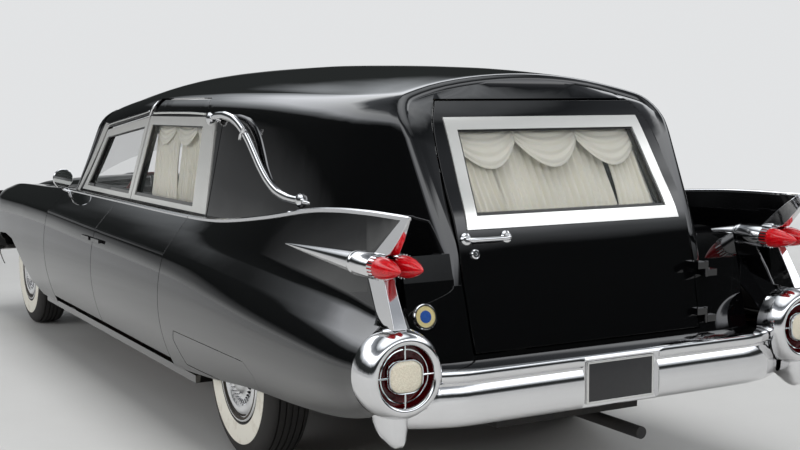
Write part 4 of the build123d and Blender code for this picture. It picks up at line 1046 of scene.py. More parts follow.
strips = {
    "beltOver": (-3, 5), "beltNarrow": (13, -3040, 150), "gutterSteps": 10,
    "beltInner": ((0, -4), (1, 5), (8, 8.5)), "beltOuter": ((-7, 8.5), (0, 4), (0.5, -8), (-5, -9)),
    "belts": (("belt_fender", 1181, 1296, "car_body"), ("belt_frontDoor", 1174.5, 103.5, "front"),
        ("belt_rearDoor", 96.5, -1054.5, "rear"), ("belt_quarter", -1061.5, -3188, "car_body")),
    "beltStep": 60, "beltEdge": 0.0008, "gutter": ((712, 1412), (480, 1436), (100, 1472), (-105, 1494)),
    "gutterProud": 5, "gutterRadius": 0.0065,
    "header": ((-174, 1484), (-300, 1486), (-500, 1487), (-700, 1487), (-850, 1485), (-960, 1482)),
    "headerProud": 2, "headerRadius": 0.005,
    "spike": ((-118, 1478), (-132, 1504), (-146, 1530), (-156, 1549)), "spikeProud": 4, "spikeKnee": 1500,
    "spikeLean": 0.62, "spikeRadii": (0.011, 0.009, 0.006, 0.002)
}


def onCoach(path, proud):
    return [(x * mm, (coachY(x, z) + proud) * mm, z * mm) for x, z in path]


def spikePoint(x, z):
    s = strips
    y = coachY(x, min(z, s["spikeKnee"])) + s["spikeProud"] - max(0, z - s["spikeKnee"]) * s["spikeLean"]
    return x * mm, y * mm, z * mm


def makeStrips():
    s = strips
    for name, x0, x1, place in s["belts"]:
        strip = sweptBar(stationsFrom(x0, x1, s["beltStep"]), beltLoop)
        for side, hand in hands:
            body = place if place == "car_body" else f"{place}_{hand}_door_leaf"
            newPiece(f"{name}_{hand}", sided(strip.copy(), side), plating, body, bevel=s["beltEdge"])
        strip.free()
    for side, hand in hands:
        path = curvePath(onCoach(s["gutter"], s["gutterProud"]), s["gutterSteps"])
        gutter = tube(path, s["gutterRadius"], facets["wire"])
        newPiece(f"gutter_{hand}", sided(gutter, side), steel, "car_body")
        spike = tube([spikePoint(x, z) for x, z in s["spike"]], s["spikeRadii"], facets["rod"])
        newPiece(f"pillarSpike_{hand}", sided(spike, side), plating, "car_body")
        header = tube(onCoach(s["header"], s["headerProud"]), s["headerRadius"], facets["wire"])
        newPiece(f"headerStrip_{hand}", sided(header, side), brightAlloy, f"rear_{hand}_door_leaf")


makeStrips()
print("bright strips made")


# Landau bars

landau = {
    "steps": 5,
    "path": ((-1112, 1462), (-1180, 1476), (-1290, 1478), (-1400, 1462), (-1490, 1428), (-1570, 1378),
        (-1640, 1318), (-1710, 1256), (-1790, 1202), (-1880, 1164), (-1990, 1146), (-2105, 1142)),
    "ends": ((-1112, 1462, 726), (-2112, 1142, 742)), "spindleEnd": (-2185, -14, 1136),
    "spindle": (0.013, 0.009), "leaves": ((38, 95, 15), (20, 70, 13), (58, 70, 13)),
    "leafPlace": (-1530, 11, 1400), "leafHalf": 0.009, "y": 778, "flat": 0.6,
    "radius": (14, 17, 19, 21, 22, 22, 22, 21, 20, 18, 16, 14), "boss": 30
}


def makeLandau(side, hand):
    b = landau
    path = curvePath([(x * mm, 0, z * mm) for x, z in b["path"]], b["steps"])
    radii = [b["radius"][min(k // b["steps"], len(b["radius"]) - 1)] * mm for k in range(len(path))]
    bar = tube(path, radii, facets["bar"])
    bmesh.ops.scale(bar, vec=(1, b["flat"], 1), verts=bar.verts)
    parts = [moved(bar, (0, b["y"] * mm, 0))]
    boss, stem = b["boss"] * mm, b["spindle"][0]
    for x, z, reach in b["ends"]:
        out = (b["y"] - reach) * mm
        profile = [(0, 0), (boss, 0), (boss, 0.01), (boss * 0.55, 0.02), (stem, 0.03),
                   (stem, out - 0.024), (boss * 0.8, out - 0.012), (boss, out), (boss * 0.9, out + 0.01),
                   (boss * 0.5, out + 0.017), (0, out + 0.019)]
        parts.append(turned(profile, (x * mm, reach * mm, z * mm), "y", facets["boss"]))
    x, y, z = b["spindleEnd"]
    start = (b["ends"][1][0] * mm, b["y"] * mm, b["ends"][1][1] * mm)
    end = (x * mm, (b["y"] + y) * mm, z * mm)
    parts.append(tube([start, end], b["spindle"], facets["stem"]))
    x, y, z = b["leafPlace"]
    for turn, length, width in b["leaves"]:
        leaf = bmesh.new()
        bmesh.ops.create_uvsphere(leaf, u_segments=facets["bar"], v_segments=facets["wire"], radius=1)
        bmesh.ops.scale(leaf, vec=(length / 2 * mm, b["leafHalf"], width / 2 * mm), verts=leaf.verts)
        parts.append(moved(spun(leaf, turn, "Y"), (x * mm, (b["y"] + y) * mm, z * mm)))
    newPiece(f"landauBar_{hand}", sided(joined(*parts), side), plating, "car_body")


for side, hand in hands:
    makeLandau(side, hand)
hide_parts("landau_bars")
print("landau bars made")


# Drapes

drapes = {
    "tailFolds": 6, "tailGather": 0.12, "tailSheerFolds": 16, "tailSheerOff": 0.026, "tailDrop": 0.17,
    "tailSwagOff": 0.012, "sideFolds": 9, "sideGather": 0.1, "sideSheerFolds": 12, "sideSheerOff": 0.02,
    "rearFolds": 8, "sideDrop": 0.13, "sideSwagOff": 0.008, "gatherReach": 1.1, "ripple": (0.25, 5.1, 2),
    "ease": (0.7, 0.3), "swagFall": (0.42, 0.58), "swagWave": (0.008, 0.35, 0.65, 0.012),
    "swagLean": ((0.002, 0.6), (0.006, 0.5)),
    "depth": 0.012, "off": 0.012, "thickness": 0.0012, "sharp": 80, "foldColumns": 8, "rows": 14,
    "swagGrid": (40, 22), "swagFolds": 5, "tailInset": 48, "tailEnds": (0.432, 0.255),
    "tailHeights": (1.448, 1.075), "tailSheer": 0.27,
    "tailSwags": ((0.432, 0.145), (0.145, -0.145), (-0.145, -0.432)), "swagTop": 1.452,
    "wallAt": (-600, 40), "wallGap": 0.012, "sideHeights": (1.46, 1.01), "rearHeights": (1.44, 1.01),
    "sideEnds": (-0.1, -0.47), "sheerEnds": (-0.45, -0.79), "rearEnds": (-1.03, -0.72),
    "sideSwags": ((-0.09, -0.41), (-0.41, -0.73), (-0.73, -1.05))
}


def clothPiece(name, bm, body):
    piece = newPiece(name, bm, cloth, body, sharpAngle=drapes["sharp"])
    wall = piece.modifiers.new("cloth", "SOLIDIFY")
    wall.thickness = drapes["thickness"]
    wall.offset = 0
    return piece


def pleatedSheet(name, start, end, topZ, lowZ, xAt, body, folds, gather=0.0, axis="y"):
    span = end - start
    columns = folds * drapes["foldColumns"]
    rows = drapes["rows"]
    off = drapes["off"]
    small, rate, drift = drapes["ripple"]
    most, more = drapes["ease"]

    def place(i, j):
        u, v = i / columns, j / rows
        z = lowZ + (topZ - lowZ) * v
        narrowing = 1 - gather * math.sin(math.pi * min(1, (1 - v) * drapes["gatherReach"])) if gather else 1
        along = start + span * u * narrowing
        wave = math.sin(u * folds * 2 * math.pi) + small * math.sin(u * folds * rate + v * drift)
        depth = drapes["depth"] * wave * (most + more * (1 - v))
        if axis == "y":
            return Vector((xAt(z) + off + depth, along, z))
        return Vector((along, xAt(z) - off + depth, z))

    bm = gridSkin(columns, rows, place)
    row = [place(i, rows // 2) for i in range(columns + 1)]
    flatWidth = sum((row[k + 1] - row[k]).length for k in range(columns))
    area = sum(face.calc_area() for face in bm.faces)
    piece = clothPiece(name, bm, body)
    area / flatWidth
    return piece


def swagSheet(name, start, end, drop, xAt, body, axis="y"):
    columns, rows = drapes["swagGrid"]
    ends, belly = drapes["swagFall"]
    swing, least, more, sag = drapes["swagWave"]
    (tailOff, tailLean), (sideOff, sideLean) = drapes["swagLean"]

    def place(i, j):
        u, v = i / columns, j / rows
        hang = 1 - (2 * u - 1) ** 2
        z = drapes["swagTop"] - v * (drop * ends + drop * belly * hang)
        wave = math.sin(v * drapes["swagFolds"] * 2 * math.pi) * swing
        fold = wave * (least + more * hang) + sag * v * hang
        along = start + (end - start) * u
        if axis == "y":
            return Vector((xAt(z) + tailOff - fold * tailLean, along, z))
        return Vector((along, xAt(z) - sideOff + fold * sideLean, z))

    bm = gridSkin(columns, rows, place)
    area = sum(face.calc_area() for face in bm.faces)
    piece = clothPiece(name, bm, body)
    width = abs(end - start)
    area / width


def makeDrapes():
    d = drapes
    outer, inner = d["tailEnds"]

    def inside(z):
        return (tailX(0, z * perMetre) + d["tailInset"]) * mm

    tailDrape = pleatedSheet("tailDrape_left", outer, inner, *d["tailHeights"], inside, "loading_door",
                             d["tailFolds"], d["tailGather"])
    pleatedSheet("tailDrape_right", -outer, -inner, *d["tailHeights"], inside, "loading_door",
                 d["tailFolds"], d["tailGather"])
    pleatedSheet("tailSheer", d["tailSheer"], -d["tailSheer"], *d["tailHeights"],
                 lambda z: inside(z) + d["tailSheerOff"], "loading_door", d["tailSheerFolds"])
    for k, (start, end) in enumerate(d["tailSwags"]):
        swagSheet(f"tailSwag_{k + 1}", start, end, d["tailDrop"], lambda z: inside(z) - d["tailSwagOff"],
                  "loading_door")
    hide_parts("tail_drapes")
    for side, hand in hands:
        leaf = f"rear_{hand}_door_leaf"

        def wallY(z):
            return side * (coachY(d["wallAt"][0], z * perMetre, d["wallAt"][1]) * mm - d["wallGap"])

        curtain = pleatedSheet(f"sideDrape_{hand}", *d["sideEnds"], *d["sideHeights"], wallY, leaf,
                               d["sideFolds"], d["sideGather"], axis="x")
        pleatedSheet(f"sideSheer_{hand}", *d["sheerEnds"], *d["sideHeights"],
                     lambda z: wallY(z) - side * d["sideSheerOff"], leaf, d["sideSheerFolds"],
                     axis="x")
        pleatedSheet(f"sideDrapeRear_{hand}", *d["rearEnds"], *d["rearHeights"], wallY, leaf,
                     d["rearFolds"], d["sideGather"], axis="x")
        for k, (start, end) in enumerate(d["sideSwags"]):
            swagSheet(f"sideSwag{k + 1}_{hand}", start, end, d["sideDrop"],
                      lambda z: wallY(z) + side * d["sideSwagOff"], leaf, axis="x")
        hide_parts(f"side_drape_{hand}")


makeDrapes()
print("drapes made")


# Wheels

wheel = {
    "tyreSharp": 28, "coverSharp": 60,
    "axles": (("front", 2.287), ("rear", -1.675)), "y": 0.79, "z": 0.37, "whiteFrom": 0.2145,
    "whiteTo": 0.298, "steps": 96, "vanes": 36, "paintedEdge": 0.0005, "outsideFrom": 0.05,
    "vaneEdge": 0.0012, "vane": ((0.097, -0.0022, 0.0805), (0.139, 0.0022, 0.0925)), "vaneLean": 9,
    "vaneLift": 0.0175,
    "profile": ((0.2, 0.08), (0.208, 0.089), (0.2145, 0.0935), (0.216, 0.095), (0.235, 0.0985),
        (0.262, 0.1018), (0.29, 0.1025), (0.2965, 0.1018), (0.298, 0.1002), (0.318, 0.0975),
        (0.335, 0.0925), (0.35, 0.085), (0.361, 0.0765), (0.3665, 0.068), (0.3685, 0.061),
        (0.36, 0.06), (0.36, 0.054), (0.369, 0.053), (0.3696, 0.031), (0.361, 0.03),
        (0.361, 0.024), (0.3697, 0.023), (0.37, 0.005), (0.362, 0.004)),
    "cap": ((0.204, 0.082), (0.205, 0.09), (0.201, 0.0955), (0.196, 0.096), (0.19, 0.0915),
        (0.184, 0.085), (0.178, 0.084), (0.173, 0.088), (0.166, 0.093), (0.156, 0.0945),
        (0.142, 0.0915), (0.125, 0.085), (0.106, 0.0795), (0.088, 0.078), (0.078, 0.08),
        (0.074, 0.087), (0.07, 0.0935), (0.062, 0.0985), (0.048, 0.103), (0.03, 0.1055),
        (0.012, 0.1065), (0.0, 0.1068))
}


def makeWheel(end, x, hand, side):
    w = wheel
    centre = (x, side * w["y"], w["z"])
    half = list(w["profile"])
    profile = half + [(r, -a) for r, a in reversed(half)]
    body = f"{end}_{hand}_road_wheel"
    tyre = turned(profile, centre, "y", w["steps"], side)
    for face in tyre.faces:
        middle = face.calc_center_median()
        radius = math.hypot(middle.x - x, middle.z - w["z"]) + w["paintedEdge"]
        if w["whiteFrom"] < radius < w["whiteTo"] and (middle.y - centre[1]) * side > w["outsideFrom"]:
            face.material_index = 1
    newPiece(f"tyre_{end}_{hand}", tyre, [rubber, whiteBand], body, replaces=[f"{end}_{hand}_tyre"],
             sharpAngle=w["tyreSharp"])
    cap = turned(w["cap"], centre, "y", w["steps"], side)
    newPiece(f"wheelCover_{end}_{hand}", cap, plating, body, sharpAngle=w["coverSharp"])
    vanes = []
    for k in range(w["vanes"]):
        vane = moved(spun(box(*w["vane"], w["vaneEdge"]), w["vaneLean"], "Y"), (0, 0, w["vaneLift"]))
        vanes.append(spun(vane, k * 360 / w["vanes"], "Z"))
    ring = joined(*vanes)
    ring.transform(Matrix.Translation(centre) @ Matrix.Rotation(math.radians(-90 * side), 4, "X"))
    newPiece(f"coverVanes_{end}_{hand}", ring, plating, body)


for end, x in wheel["axles"]:
    for side, hand in hands:
        makeWheel(end, x, hand, side)
print("wheels made")


# Rear end: bumper, lamps, pods, fin caps, plate, handle and badge

rear = {
    "barStep": 30, "wingStep": 12, "wingLap": 6, "recessFrom": -3.3, "plateEdge": 0.002, "rimEdge": 0.001,
    "lampSharp": 60, "skegShape": (0.45, 0.8, 0.4, 0.18),
    "face": -3.1655, "half": 740, "wingEnd": 846, "recess": (170, 448, 624), "recessDepth": 0.018,
    "section": ((125, 437), (56, 437), (30, 442), (12, 452), (3, 468), (0, 486), (-1, 515), (0, 548),
        (3, 564), (10, 578), (15, 586), (12, 594), (4, 600), (0, 608), (0, 624), (4, 633), (14, 639),
        (125, 640)),
    "skeg": ((-2968, 506, 484, 12), (-2992, 508, 462, 30), (-3030, 510, 438, 42), (-3075, 510, 416, 46),
        (-3112, 510, 405, 42), (-3136, 510, 404, 34), (-3152, 508, 414, 22), (-3158, 506, 440, 10)),
    "skegY": 902, "lampY": 893, "lampZ": 646,
    "shell": ((0.149, 0), (0.1512, 0.018), (0.1518, 0.036), (0.15, 0.056), (0.1455, 0.076),
        (0.139, 0.092), (0.131, 0.1035), (0.1225, 0.1095), (0.114, 0.111), (0.107, 0.108),
        (0.103, 0.101), (0.1035, 0.093), (0.106, 0.09)),
    "bowl": ((0.106, 0.096), (0.112, 0.064), (0.114, 0.03), (0.105, 0.024), (0.06, 0.022),
        (0, 0.022)), "podY": (835, 918), "podZ": 989,
    "blade": ((-2963, 1024), (-3044, 1085), (-3104, 1130), (-3152, 1165), (-3199, 1166), (-3170, 1130),
        (-3130, 1084), (-3080, 1034), (-3030, 1020)), "bladeWide": (44, 44, 38, 24, 5, 14, 26, 38, 42),
    "pillar": ((-2930, 948), (-3055, 950), (-3080, 905), (-3112, 852), (-3146, 794), (-3046, 790),
        (-3020, 815), (-2990, 856), (-2958, 905)), "pillarWide": (46, 40, 40, 44, 50, 60, 58, 52, 48),
    "podTips": ((-2680, 850, 989), (-2270, 914, 996)), "ringOut": 0.086, "ringRadius": 0.0885,
    "lampX": -3.0715, "steps": 96, "spoke": ((0, 0, 0.056), (0, 0, 0.108)), "spokeRadii": (0.0036, 0.003),
    "spokeOut": 0.092, "ringThick": 0.0028, "bezelWide": 1.14, "bezelCorner": 0.74,
    "bezel": ((0.054, 0.024), (0.06, 0.07), (0.0594, 0.094), (0.055, 0.103), (0.0525, 0.102),
        (0.052, 0.092)), "lensHalf": 0.0525, "lensCorner": 0.0385,
    "lens": ((1, 0.091), (0.97, 0.099), (0.85, 0.1045), (0.62, 0.1075), (0.32, 0.1085)), "podX": -3.0205,
    "coneEnd": -2.874, "coneSteps": 16, "coneRadii": (0.0015, 0.037, 0.9), "teeth": 22,
    "pod": ((0, 0.0008), (0.04, 0.001), (0.04, -0.004), (0.0425, -0.008), (0.0425, -0.118),
        (0.0405, -0.121), (0.0405, -0.126), (0.043, -0.13), (0.043, -0.14), (0.0405, -0.145),
        (0.039, -0.15), (0, -0.15)),
    "tooth": ((-0.001, -0.0034), (-0.03, -0.003), (-0.038, -0.0012), (-0.038, 0.0012), (-0.03, 0.003),
        (-0.001, 0.0034)), "toothSpan": (0.0362, 0.0418),
    "bullet": ((0, 0.0005), (0.0372, 0.0005), (0.0376, 0.02), (0.0378, 0.04), (0.0372, 0.055),
        (0.035, 0.072), (0.0312, 0.09), (0.0262, 0.108), (0.0204, 0.125), (0.0142, 0.14),
        (0.008, 0.152), (0.0034, 0.159), (0.0012, 0.1615), (0, 0.162)), "finFoot": 891.5, "finTop": 1160,
    "finLean": 0.0833, "edge": 0.003, "swing": (600, 140, 26), "wingTop": 600, "wingRadius": 155,
    "plate": ((-3.1545, -0.15, 0.461), (-3.1478, 0.15, 0.611)),
    "plateRim": ((-3.1565, -0.152, 0.459), (-3.1478, 0.152, 0.613)),
    "plateHole": ((-3.3, -0.143, 0.468), (-3.0, 0.143, 0.604))
}

tailFittings = {
    "slopeReach": 30, "pullSteps": 6, "badgeLift": 1,
    "pull": ((-2.924, 0.505, 1.046), (-2.936, 0.498, 1.046), (-2.944, 0.478, 1.046),
        (-2.946, 0.415, 1.046), (-2.944, 0.355, 1.046), (-2.936, 0.333, 1.046), (-2.924, 0.326, 1.046)),
    "pullRadius": 0.0085,
    "base": ((0, 0), (0.022, 0), (0.022, 0.005), (0.014, 0.01), (0.01, 0.02), (0, 0.02)),
    "bases": ((500, 1046), (331, 1046)), "lockPlace": (470, 992),
    "lock": ((0, 0), (0.017, 0), (0.017, 0.006), (0.013, 0.009), (0.006, 0.009), (0.005, 0.007),
        (0, 0.007)), "badgePlace": (700, 794),
    "badgeRim": ((0, -0.004), (0.045, -0.004), (0.045, 0.004), (0.042, 0.007), (0.038, 0.007),
        (0.0372, 0.0045), (0, 0.0045)),
    "badgeField": ((0, 0.0046), (0.0368, 0.0046), (0.0362, 0.006), (0, 0.0064)),
    "badgeCentre": ((0, 0.0066), (0.022, 0.006), (0.0215, 0.0072), (0, 0.0076))
}


def bumperSwing(y):
    start, reach, most = rear["swing"]
    return most * max(0, (abs(y) - start) / reach) ** 2


def bumperLoop(y):
    r = rear
    return [(r["face"] * perMetre + depth + bumperSwing(y), y, z) for depth, z in r["section"]]


def wingLoop(y):
    r = rear
    under = r["lampZ"] - math.sqrt(max(0, r["wingRadius"] ** 2 - (r["lampY"] - y) ** 2))
    return [(r["face"] * perMetre + depth + bumperSwing(y), y, min(z, under, r["wingTop"]))
            for depth, z in r["section"]]


def roundedSquare(half, corner):
    points = []
    steps, wide = 6, rear["bezelWide"]
    for cx, cz, start in ((1, 1, 0), (-1, 1, 90), (-1, -1, 180), (1, -1, 270)):
        for k in range(steps + 1):
            turn = math.radians(start + 90 * k / steps)
            points.append((wide * (cx * (half - corner) + corner * math.cos(turn)),
                           cz * (half - corner) + corner * math.sin(turn)))
    return points


def dome(rings, place):
    columns = len(rings[0])
    bm = gridSkin(columns, len(rings) - 1, lambda i, j: Vector(place(rings[j][i % columns], j)))
    return sealed(bm)


def makeLampPod(side, hand):
    r = rear
    centre = (r["lampX"], side * r["lampY"] * mm, r["lampZ"] * mm)
    newPiece(f"lampShell_{hand}", turned(r["shell"], centre, "x", r["steps"], -1), plating, "car_body",
             replaces=["rear_nacelles"] if side > 0 else (), sharpAngle=r["lampSharp"])
    newPiece(f"lampBowl_{hand}", turned(r["bowl"], centre, "x", r["steps"], -1), darkRed, "car_body",
             sharpAngle=r["lampSharp"])
    spokes = []
    for k in range(4):
        spoke = tube(r["spoke"], r["spokeRadii"], facets["rod"])
        spokes.append(spun(moved(spoke, (-r["spokeOut"], 0, 0)), 90 * k, "X"))
    steps = facets["pod"]
    ring = [(-r["ringOut"], *circled(r["ringRadius"], k / steps)) for k in range(steps)]
    spokes.append(tube(ring, r["ringThick"], facets["wire"], True))
    bezelRings = [roundedSquare(half, half * r["bezelCorner"]) for half, _ in r["bezel"]]
    spokes.append(dome(bezelRings, lambda p, j: (-r["bezel"][j][1], p[0], p[1])))
    frameWork = moved(joined(*spokes), centre)
    newPiece(f"lampSpokes_{hand}", frameWork, plating, "car_body",
             replaces=["backup_lamps"] if side > 0 else ())
    lensRings = [roundedSquare(r["lensHalf"] * size, r["lensCorner"] * size) for size, _ in r["lens"]]
    lens = dome(lensRings, lambda p, j: (centre[0] - r["lens"][j][1], centre[1] + p[0], centre[2] + p[1]))
    newPiece(f"lampLens_{hand}", lens, creamLens, "car_body")


def finSlice(outline, widths, side):
    blade = prism([(x * mm, z * mm) for x, z in outline], 1, 0, 1)
    for vert in blade.verts:
        gaps = [math.hypot(x * mm - vert.co.x, z * mm - vert.co.z) for x, z in outline]
        k = gaps.index(min(gaps))
        outer = rear["finFoot"] + max(0, rear["finTop"] - outline[k][1]) * rear["finLean"]
        vert.co.y = (outer - (widths[k] if vert.co.y < 0.5 else 0)) * mm
    bmesh.ops.triangulate(blade, faces=blade.faces[:])
    bmesh.ops.recalc_face_normals(blade, faces=blade.faces)
    return sided(blade, side)


def makeTailPods(side, hand):
    r = rear
    shells, lenses = [], []
    for y, tip in zip(r["podY"], r["podTips"]):
        centre = (r["podX"], side * y * mm, r["podZ"] * mm)
        shells.append(turned(r["pod"], centre, "x", facets["pod"], -1))
        low = Vector((tip[0], side * tip[1], tip[2])) * mm
        high = Vector((r["coneEnd"], side * y * mm, r["podZ"] * mm))
        run = [k / r["coneSteps"] for k in range(r["coneSteps"] + 1)]
        point, growth, power = r["coneRadii"]
        radii = [point + growth * u ** power for u in run]
        shells.append(tube([low.lerp(high, u) for u in run], radii, facets["hub"]))
        for k in range(r["teeth"]):
            tooth = prism(r["tooth"], 2, *r["toothSpan"])
            shells.append(moved(spun(tooth, 360 / r["teeth"] * k, "X"), centre))
        lenses.append(turned(r["bullet"], centre, "x", facets["pod"], -1))
    trim = [finSlice(r["blade"], r["bladeWide"], side), finSlice(r["pillar"], r["pillarWide"], side)]
    newPiece(f"tailPods_{hand}", joined(*shells), plating, "car_body",
             replaces=["tail_pods"] if side > 0 else ())
    newPiece(f"finTrim_{hand}", joined(*trim), plating, "car_body", bevel=r["edge"])
    newPiece(f"tailLenses_{hand}", joined(*lenses), redLens, "car_body",
             replaces=["tail_lenses"] if side > 0 else ())


def skegLoop(x, top, low, half):
    y, deep = rear["skegY"], top - low
    knee, wide, tip, foot = rear["skegShape"]
    return [(x, y - half, top), (x, y + half, top), (x, y + half, top - deep * knee),
            (x, y + half * wide, low + deep * foot), (x, y + half * tip, low), (x, y - half * tip, low),
            (x, y - half * wide, low + deep * foot), (x, y - half, top - deep * knee)]


def onTail(profile, y, z, steps=40, lift=3.2):
    reach = tailFittings["slopeReach"]
    slope = math.atan2(tailX(y, z + reach) - tailX(y, z - reach), 2 * reach)
    disc = spun(turned(profile, (0, 0, 0), "x", steps, -1), math.degrees(slope), "Y")
    return moved(disc, ((tailX(y, z) - lift) * mm, y * mm, z * mm))


def makeRearEnd():
    r = rear
    bar = sweptBar(stationsFrom(-r["half"], r["half"], r["barStep"]), bumperLoop)
    halfWide, low, high = r["recess"]
    bar = carve(bar, box((r["recessFrom"], -halfWide * mm, low * mm),
                         (r["face"] + r["recessDepth"], halfWide * mm, high * mm)))
    parts = [bar]
    parts += [sided(sweptBar(r["skeg"], lambda station: skegLoop(*station)), side) for side, _ in hands]
    ends = stationsFrom(r["half"] - r["wingLap"], r["wingEnd"], r["wingStep"])
    parts += [sided(sweptBar(ends, wingLoop), side) for side, _ in hands]
    newPiece("rearBumper", joined(*parts), plating, "car_body", replaces=["rear_bumper"], bevel=r["edge"])
    newPiece("blankPlate", box(*r["plate"], r["plateEdge"]), plateBlack, "car_body",
             replaces=["number_plate"])
    rim = carve(box(*r["plateRim"], r["plateEdge"]), box(*r["plateHole"]))
    newPiece("plateRim", rim, steel, "car_body", bevel=r["rimEdge"])
    for side, hand in hands:
        makeLampPod(side, hand)
        makeTailPods(side, hand)


def makeTailFittings():
    t = tailFittings
    parts = [tube(curvePath(t["pull"], t["pullSteps"]), t["pullRadius"], facets["bar"])]
    parts += [onTail(t["base"], *place) for place in t["bases"]]
    parts.append(onTail(t["lock"], *t["lockPlace"]))
    newPiece("tailHandle", joined(*parts), plating, "loading_door", replaces=["tail_door_handle"])
    for name, finish in (("badgeRim", plating), ("badgeField", badgeCream), ("badgeCentre", badgeBlue)):
        disc = onTail(t[name], *t["badgePlace"], facets["disc"], t["badgeLift"])
        newPiece(name, disc, finish, "car_body")


makeRearEnd()
makeTailFittings()
print("rear end made")


# Front end: bonnet, nose, grille, headlamps, bumper and mirror

front = {
    "hoodFall": (0.3, 0.7), "frameEdge": 0.006, "barEdge": 0.002, "postEdge": 0.001, "noseEdge": 0.003,
    "lampSharp": 50, "bumperSharp": 40, "bracketEdge": 0.004, "pathSteps": 4,
    "hood": ((1776, 985, 1012, 1034), (2150, 976, 1008, 1031), (2500, 962, 997, 1019),
        (2800, 946, 978, 1000), (2960, 929, 957, 978), (3030, 917, 940, 960), (3062, 906, 925, 944),
        (3070, 900, 914, 930)), "edgeY": 697, "shoulderY": 560, "wall": 0.018, "lampY": (652, 832),
    "lampZ": 745, "lampX": 3.086,
    "path": ((2862, 1015), (2960, 1016), (3040, 1016), (3088, 1010), (3124, 990), (3147, 952), (3160, 900),
        (3168, 800), (3173, 640), (3174, 320), (3174, 0)),
    "section": ((-26, 440), (-6, 432), (6, 434), (12, 446), (13, 466), (8, 480), (3, 487), (4, 494),
        (10, 503), (13, 520), (10, 538), (2, 550), (-10, 557), (-26, 558)), "hoodFrom": 1776,
    "hoodLength": 1294, "hoodGrid": (56, 40), "keelHeight": 2, "keelWidth": 26, "edge": 0.003,
    "ridge": (1800, 3051, 50), "ridgeLift": 3, "ridgeRadius": 0.007,
    "nose": ((3.0815, -0.938, 0.472), (3.097, 0.938, 0.893)),
    "noseHole": ((3.0, -0.568, 0.562), (3.2, 0.568, 0.848)),
    "lampHole": ((0, -0.05), (0.088, -0.05), (0.088, 0.05), (0, 0.05)),
    "surround": ((3.088, -0.582, 0.552), (3.106, 0.582, 0.858)),
    "surroundHole": ((3.0, -0.564, 0.57), (3.2, 0.564, 0.84)),
    "barLevels": (0.6, 0.655, 0.71, 0.765, 0.818), "barX": (3.085, 3.1), "barHalf": 0.566,
    "barHigh": 0.007, "post": ((3.084, -0.0025, 0.572), (3.097, 0.0025, 0.838)),
    "postRange": (-540, 541, 30), "jewelX": 3.0975, "jewelLift": 0.0035,
    "jewel": ((0, 0), (0.0125, 0), (0.0125, 0.004), (0.009, 0.01), (0.004, 0.0145), (0, 0.0155)),
    # back: a dark sheet behind the grille bars, painted shade filling the opening
    "back": ((3.07, -0.6, 0.545), (3.079, 0.6, 0.865)),
    "lampRim": ((0.084, -0.02), (0.088, 0.006), (0.088, 0.016), (0.084, 0.023), (0.079, 0.024),
        (0.0745, 0.019), (0.073, 0.01), (0.073, -0.02)),
    "lampFace": ((0, 0.002), (0.0732, 0.002), (0.0728, 0.01), (0.068, 0.016), (0.052, 0.021),
        (0.028, 0.0245), (0, 0.0255)), "bracket": ((2.99, 0.342, 0.398), (3.15, 0.408, 0.466)),
    "parking": ((0, 0.001), (0.034, 0.001), (0.033, 0.006), (0.024, 0.01), (0, 0.012)),
    "parkingPlace": (3.1725, 0.69, 0.4905)
}

mirror = {
    "stalkSteps": 6,
    "place": (1.1365, 0.912, 1.075),
    "head": ((0, 0.0005), (0.058, 0.0005), (0.062, 0.004), (0.062, 0.01), (0.056, 0.019), (0.038, 0.0235),
        (0.016, 0.025), (0, 0.0253)),
    "face": ((0, -0.0012), (0.0565, -0.0008), (0.0565, 0.003), (0, 0.003)),
    "stalk": ((1.148, 0.912, 1.03), (1.146, 0.908, 1.012), (1.138, 0.889, 1.0), (1.13, 0.868, 0.998),
        (1.13, 0.86, 0.994)), "stalkRadius": 0.0085,
    "foot": ((0, -0.002), (0.026, -0.002), (0.026, 0.003), (0.018, 0.009), (0.01, 0.013), (0, 0.013)),
    "footPlace": (1.13, 0.861, 0.99)
}


def hoodZ(x, y):
    rows = front["hood"]
    for low, high in zip(rows, rows[1:]):
        if x <= high[0]:
            u = max(0, (x - low[0]) / (high[0] - low[0]))
            edge, shoulder, crown = (low[k] + (high[k] - low[k]) * u for k in (1, 2, 3))
            break
    across = min(1, abs(y) / front["edgeY"])
    knee = front["shoulderY"] / front["edgeY"]
    if across < knee:
        z = crown + (shoulder - crown) * (across / knee) ** 2
    else:
        v = (across - knee) / (1 - knee)
        slow, fast = front["hoodFall"]
        z = shoulder + (edge - shoulder) * (slow * v + fast * v * v)
    keel = front["keelHeight"]
    return z - keel + keel * math.exp(-(y / front["keelWidth"]) ** 2)


def bumperPathLoop(k, points):
    x, y = points[k]
    x0, y0 = points[max(k - 1, 0)]
    x1, y1 = points[min(k + 1, len(points) - 1)]
    length = math.hypot(x1 - x0, y1 - y0)
    out = ((y0 - y1) / length, (x1 - x0) / length)
    if out[0] + (1 if y > 0 else -1) * out[1] < 0:
        out = (-out[0], -out[1])
    return [(x + out[0] * depth, y + out[1] * depth, z) for depth, z in front["section"]]


def makeHood():
    f = front
    columns, rows = f["hoodGrid"]

    def place(i, j):
        x, y = f["hoodFrom"] + f["hoodLength"] * i / columns, f["edgeY"] * (2 * j / rows - 1)
        return Vector((x, y, hoodZ(x, y))) * mm

    hood = shelled(gridSkin(columns, rows, place), f["wall"])
    newPiece("hoodSkin", hood, paint, "bonnet_lid", replaces=["bonnet"], bevel=f["edge"])
    ridge = tube([(x * mm, 0, (hoodZ(x, 0) + f["ridgeLift"]) * mm) for x in range(*f["ridge"])],
                 f["ridgeRadius"], facets["rod"])
    newPiece("hoodRidge", ridge, plating, "bonnet_lid")


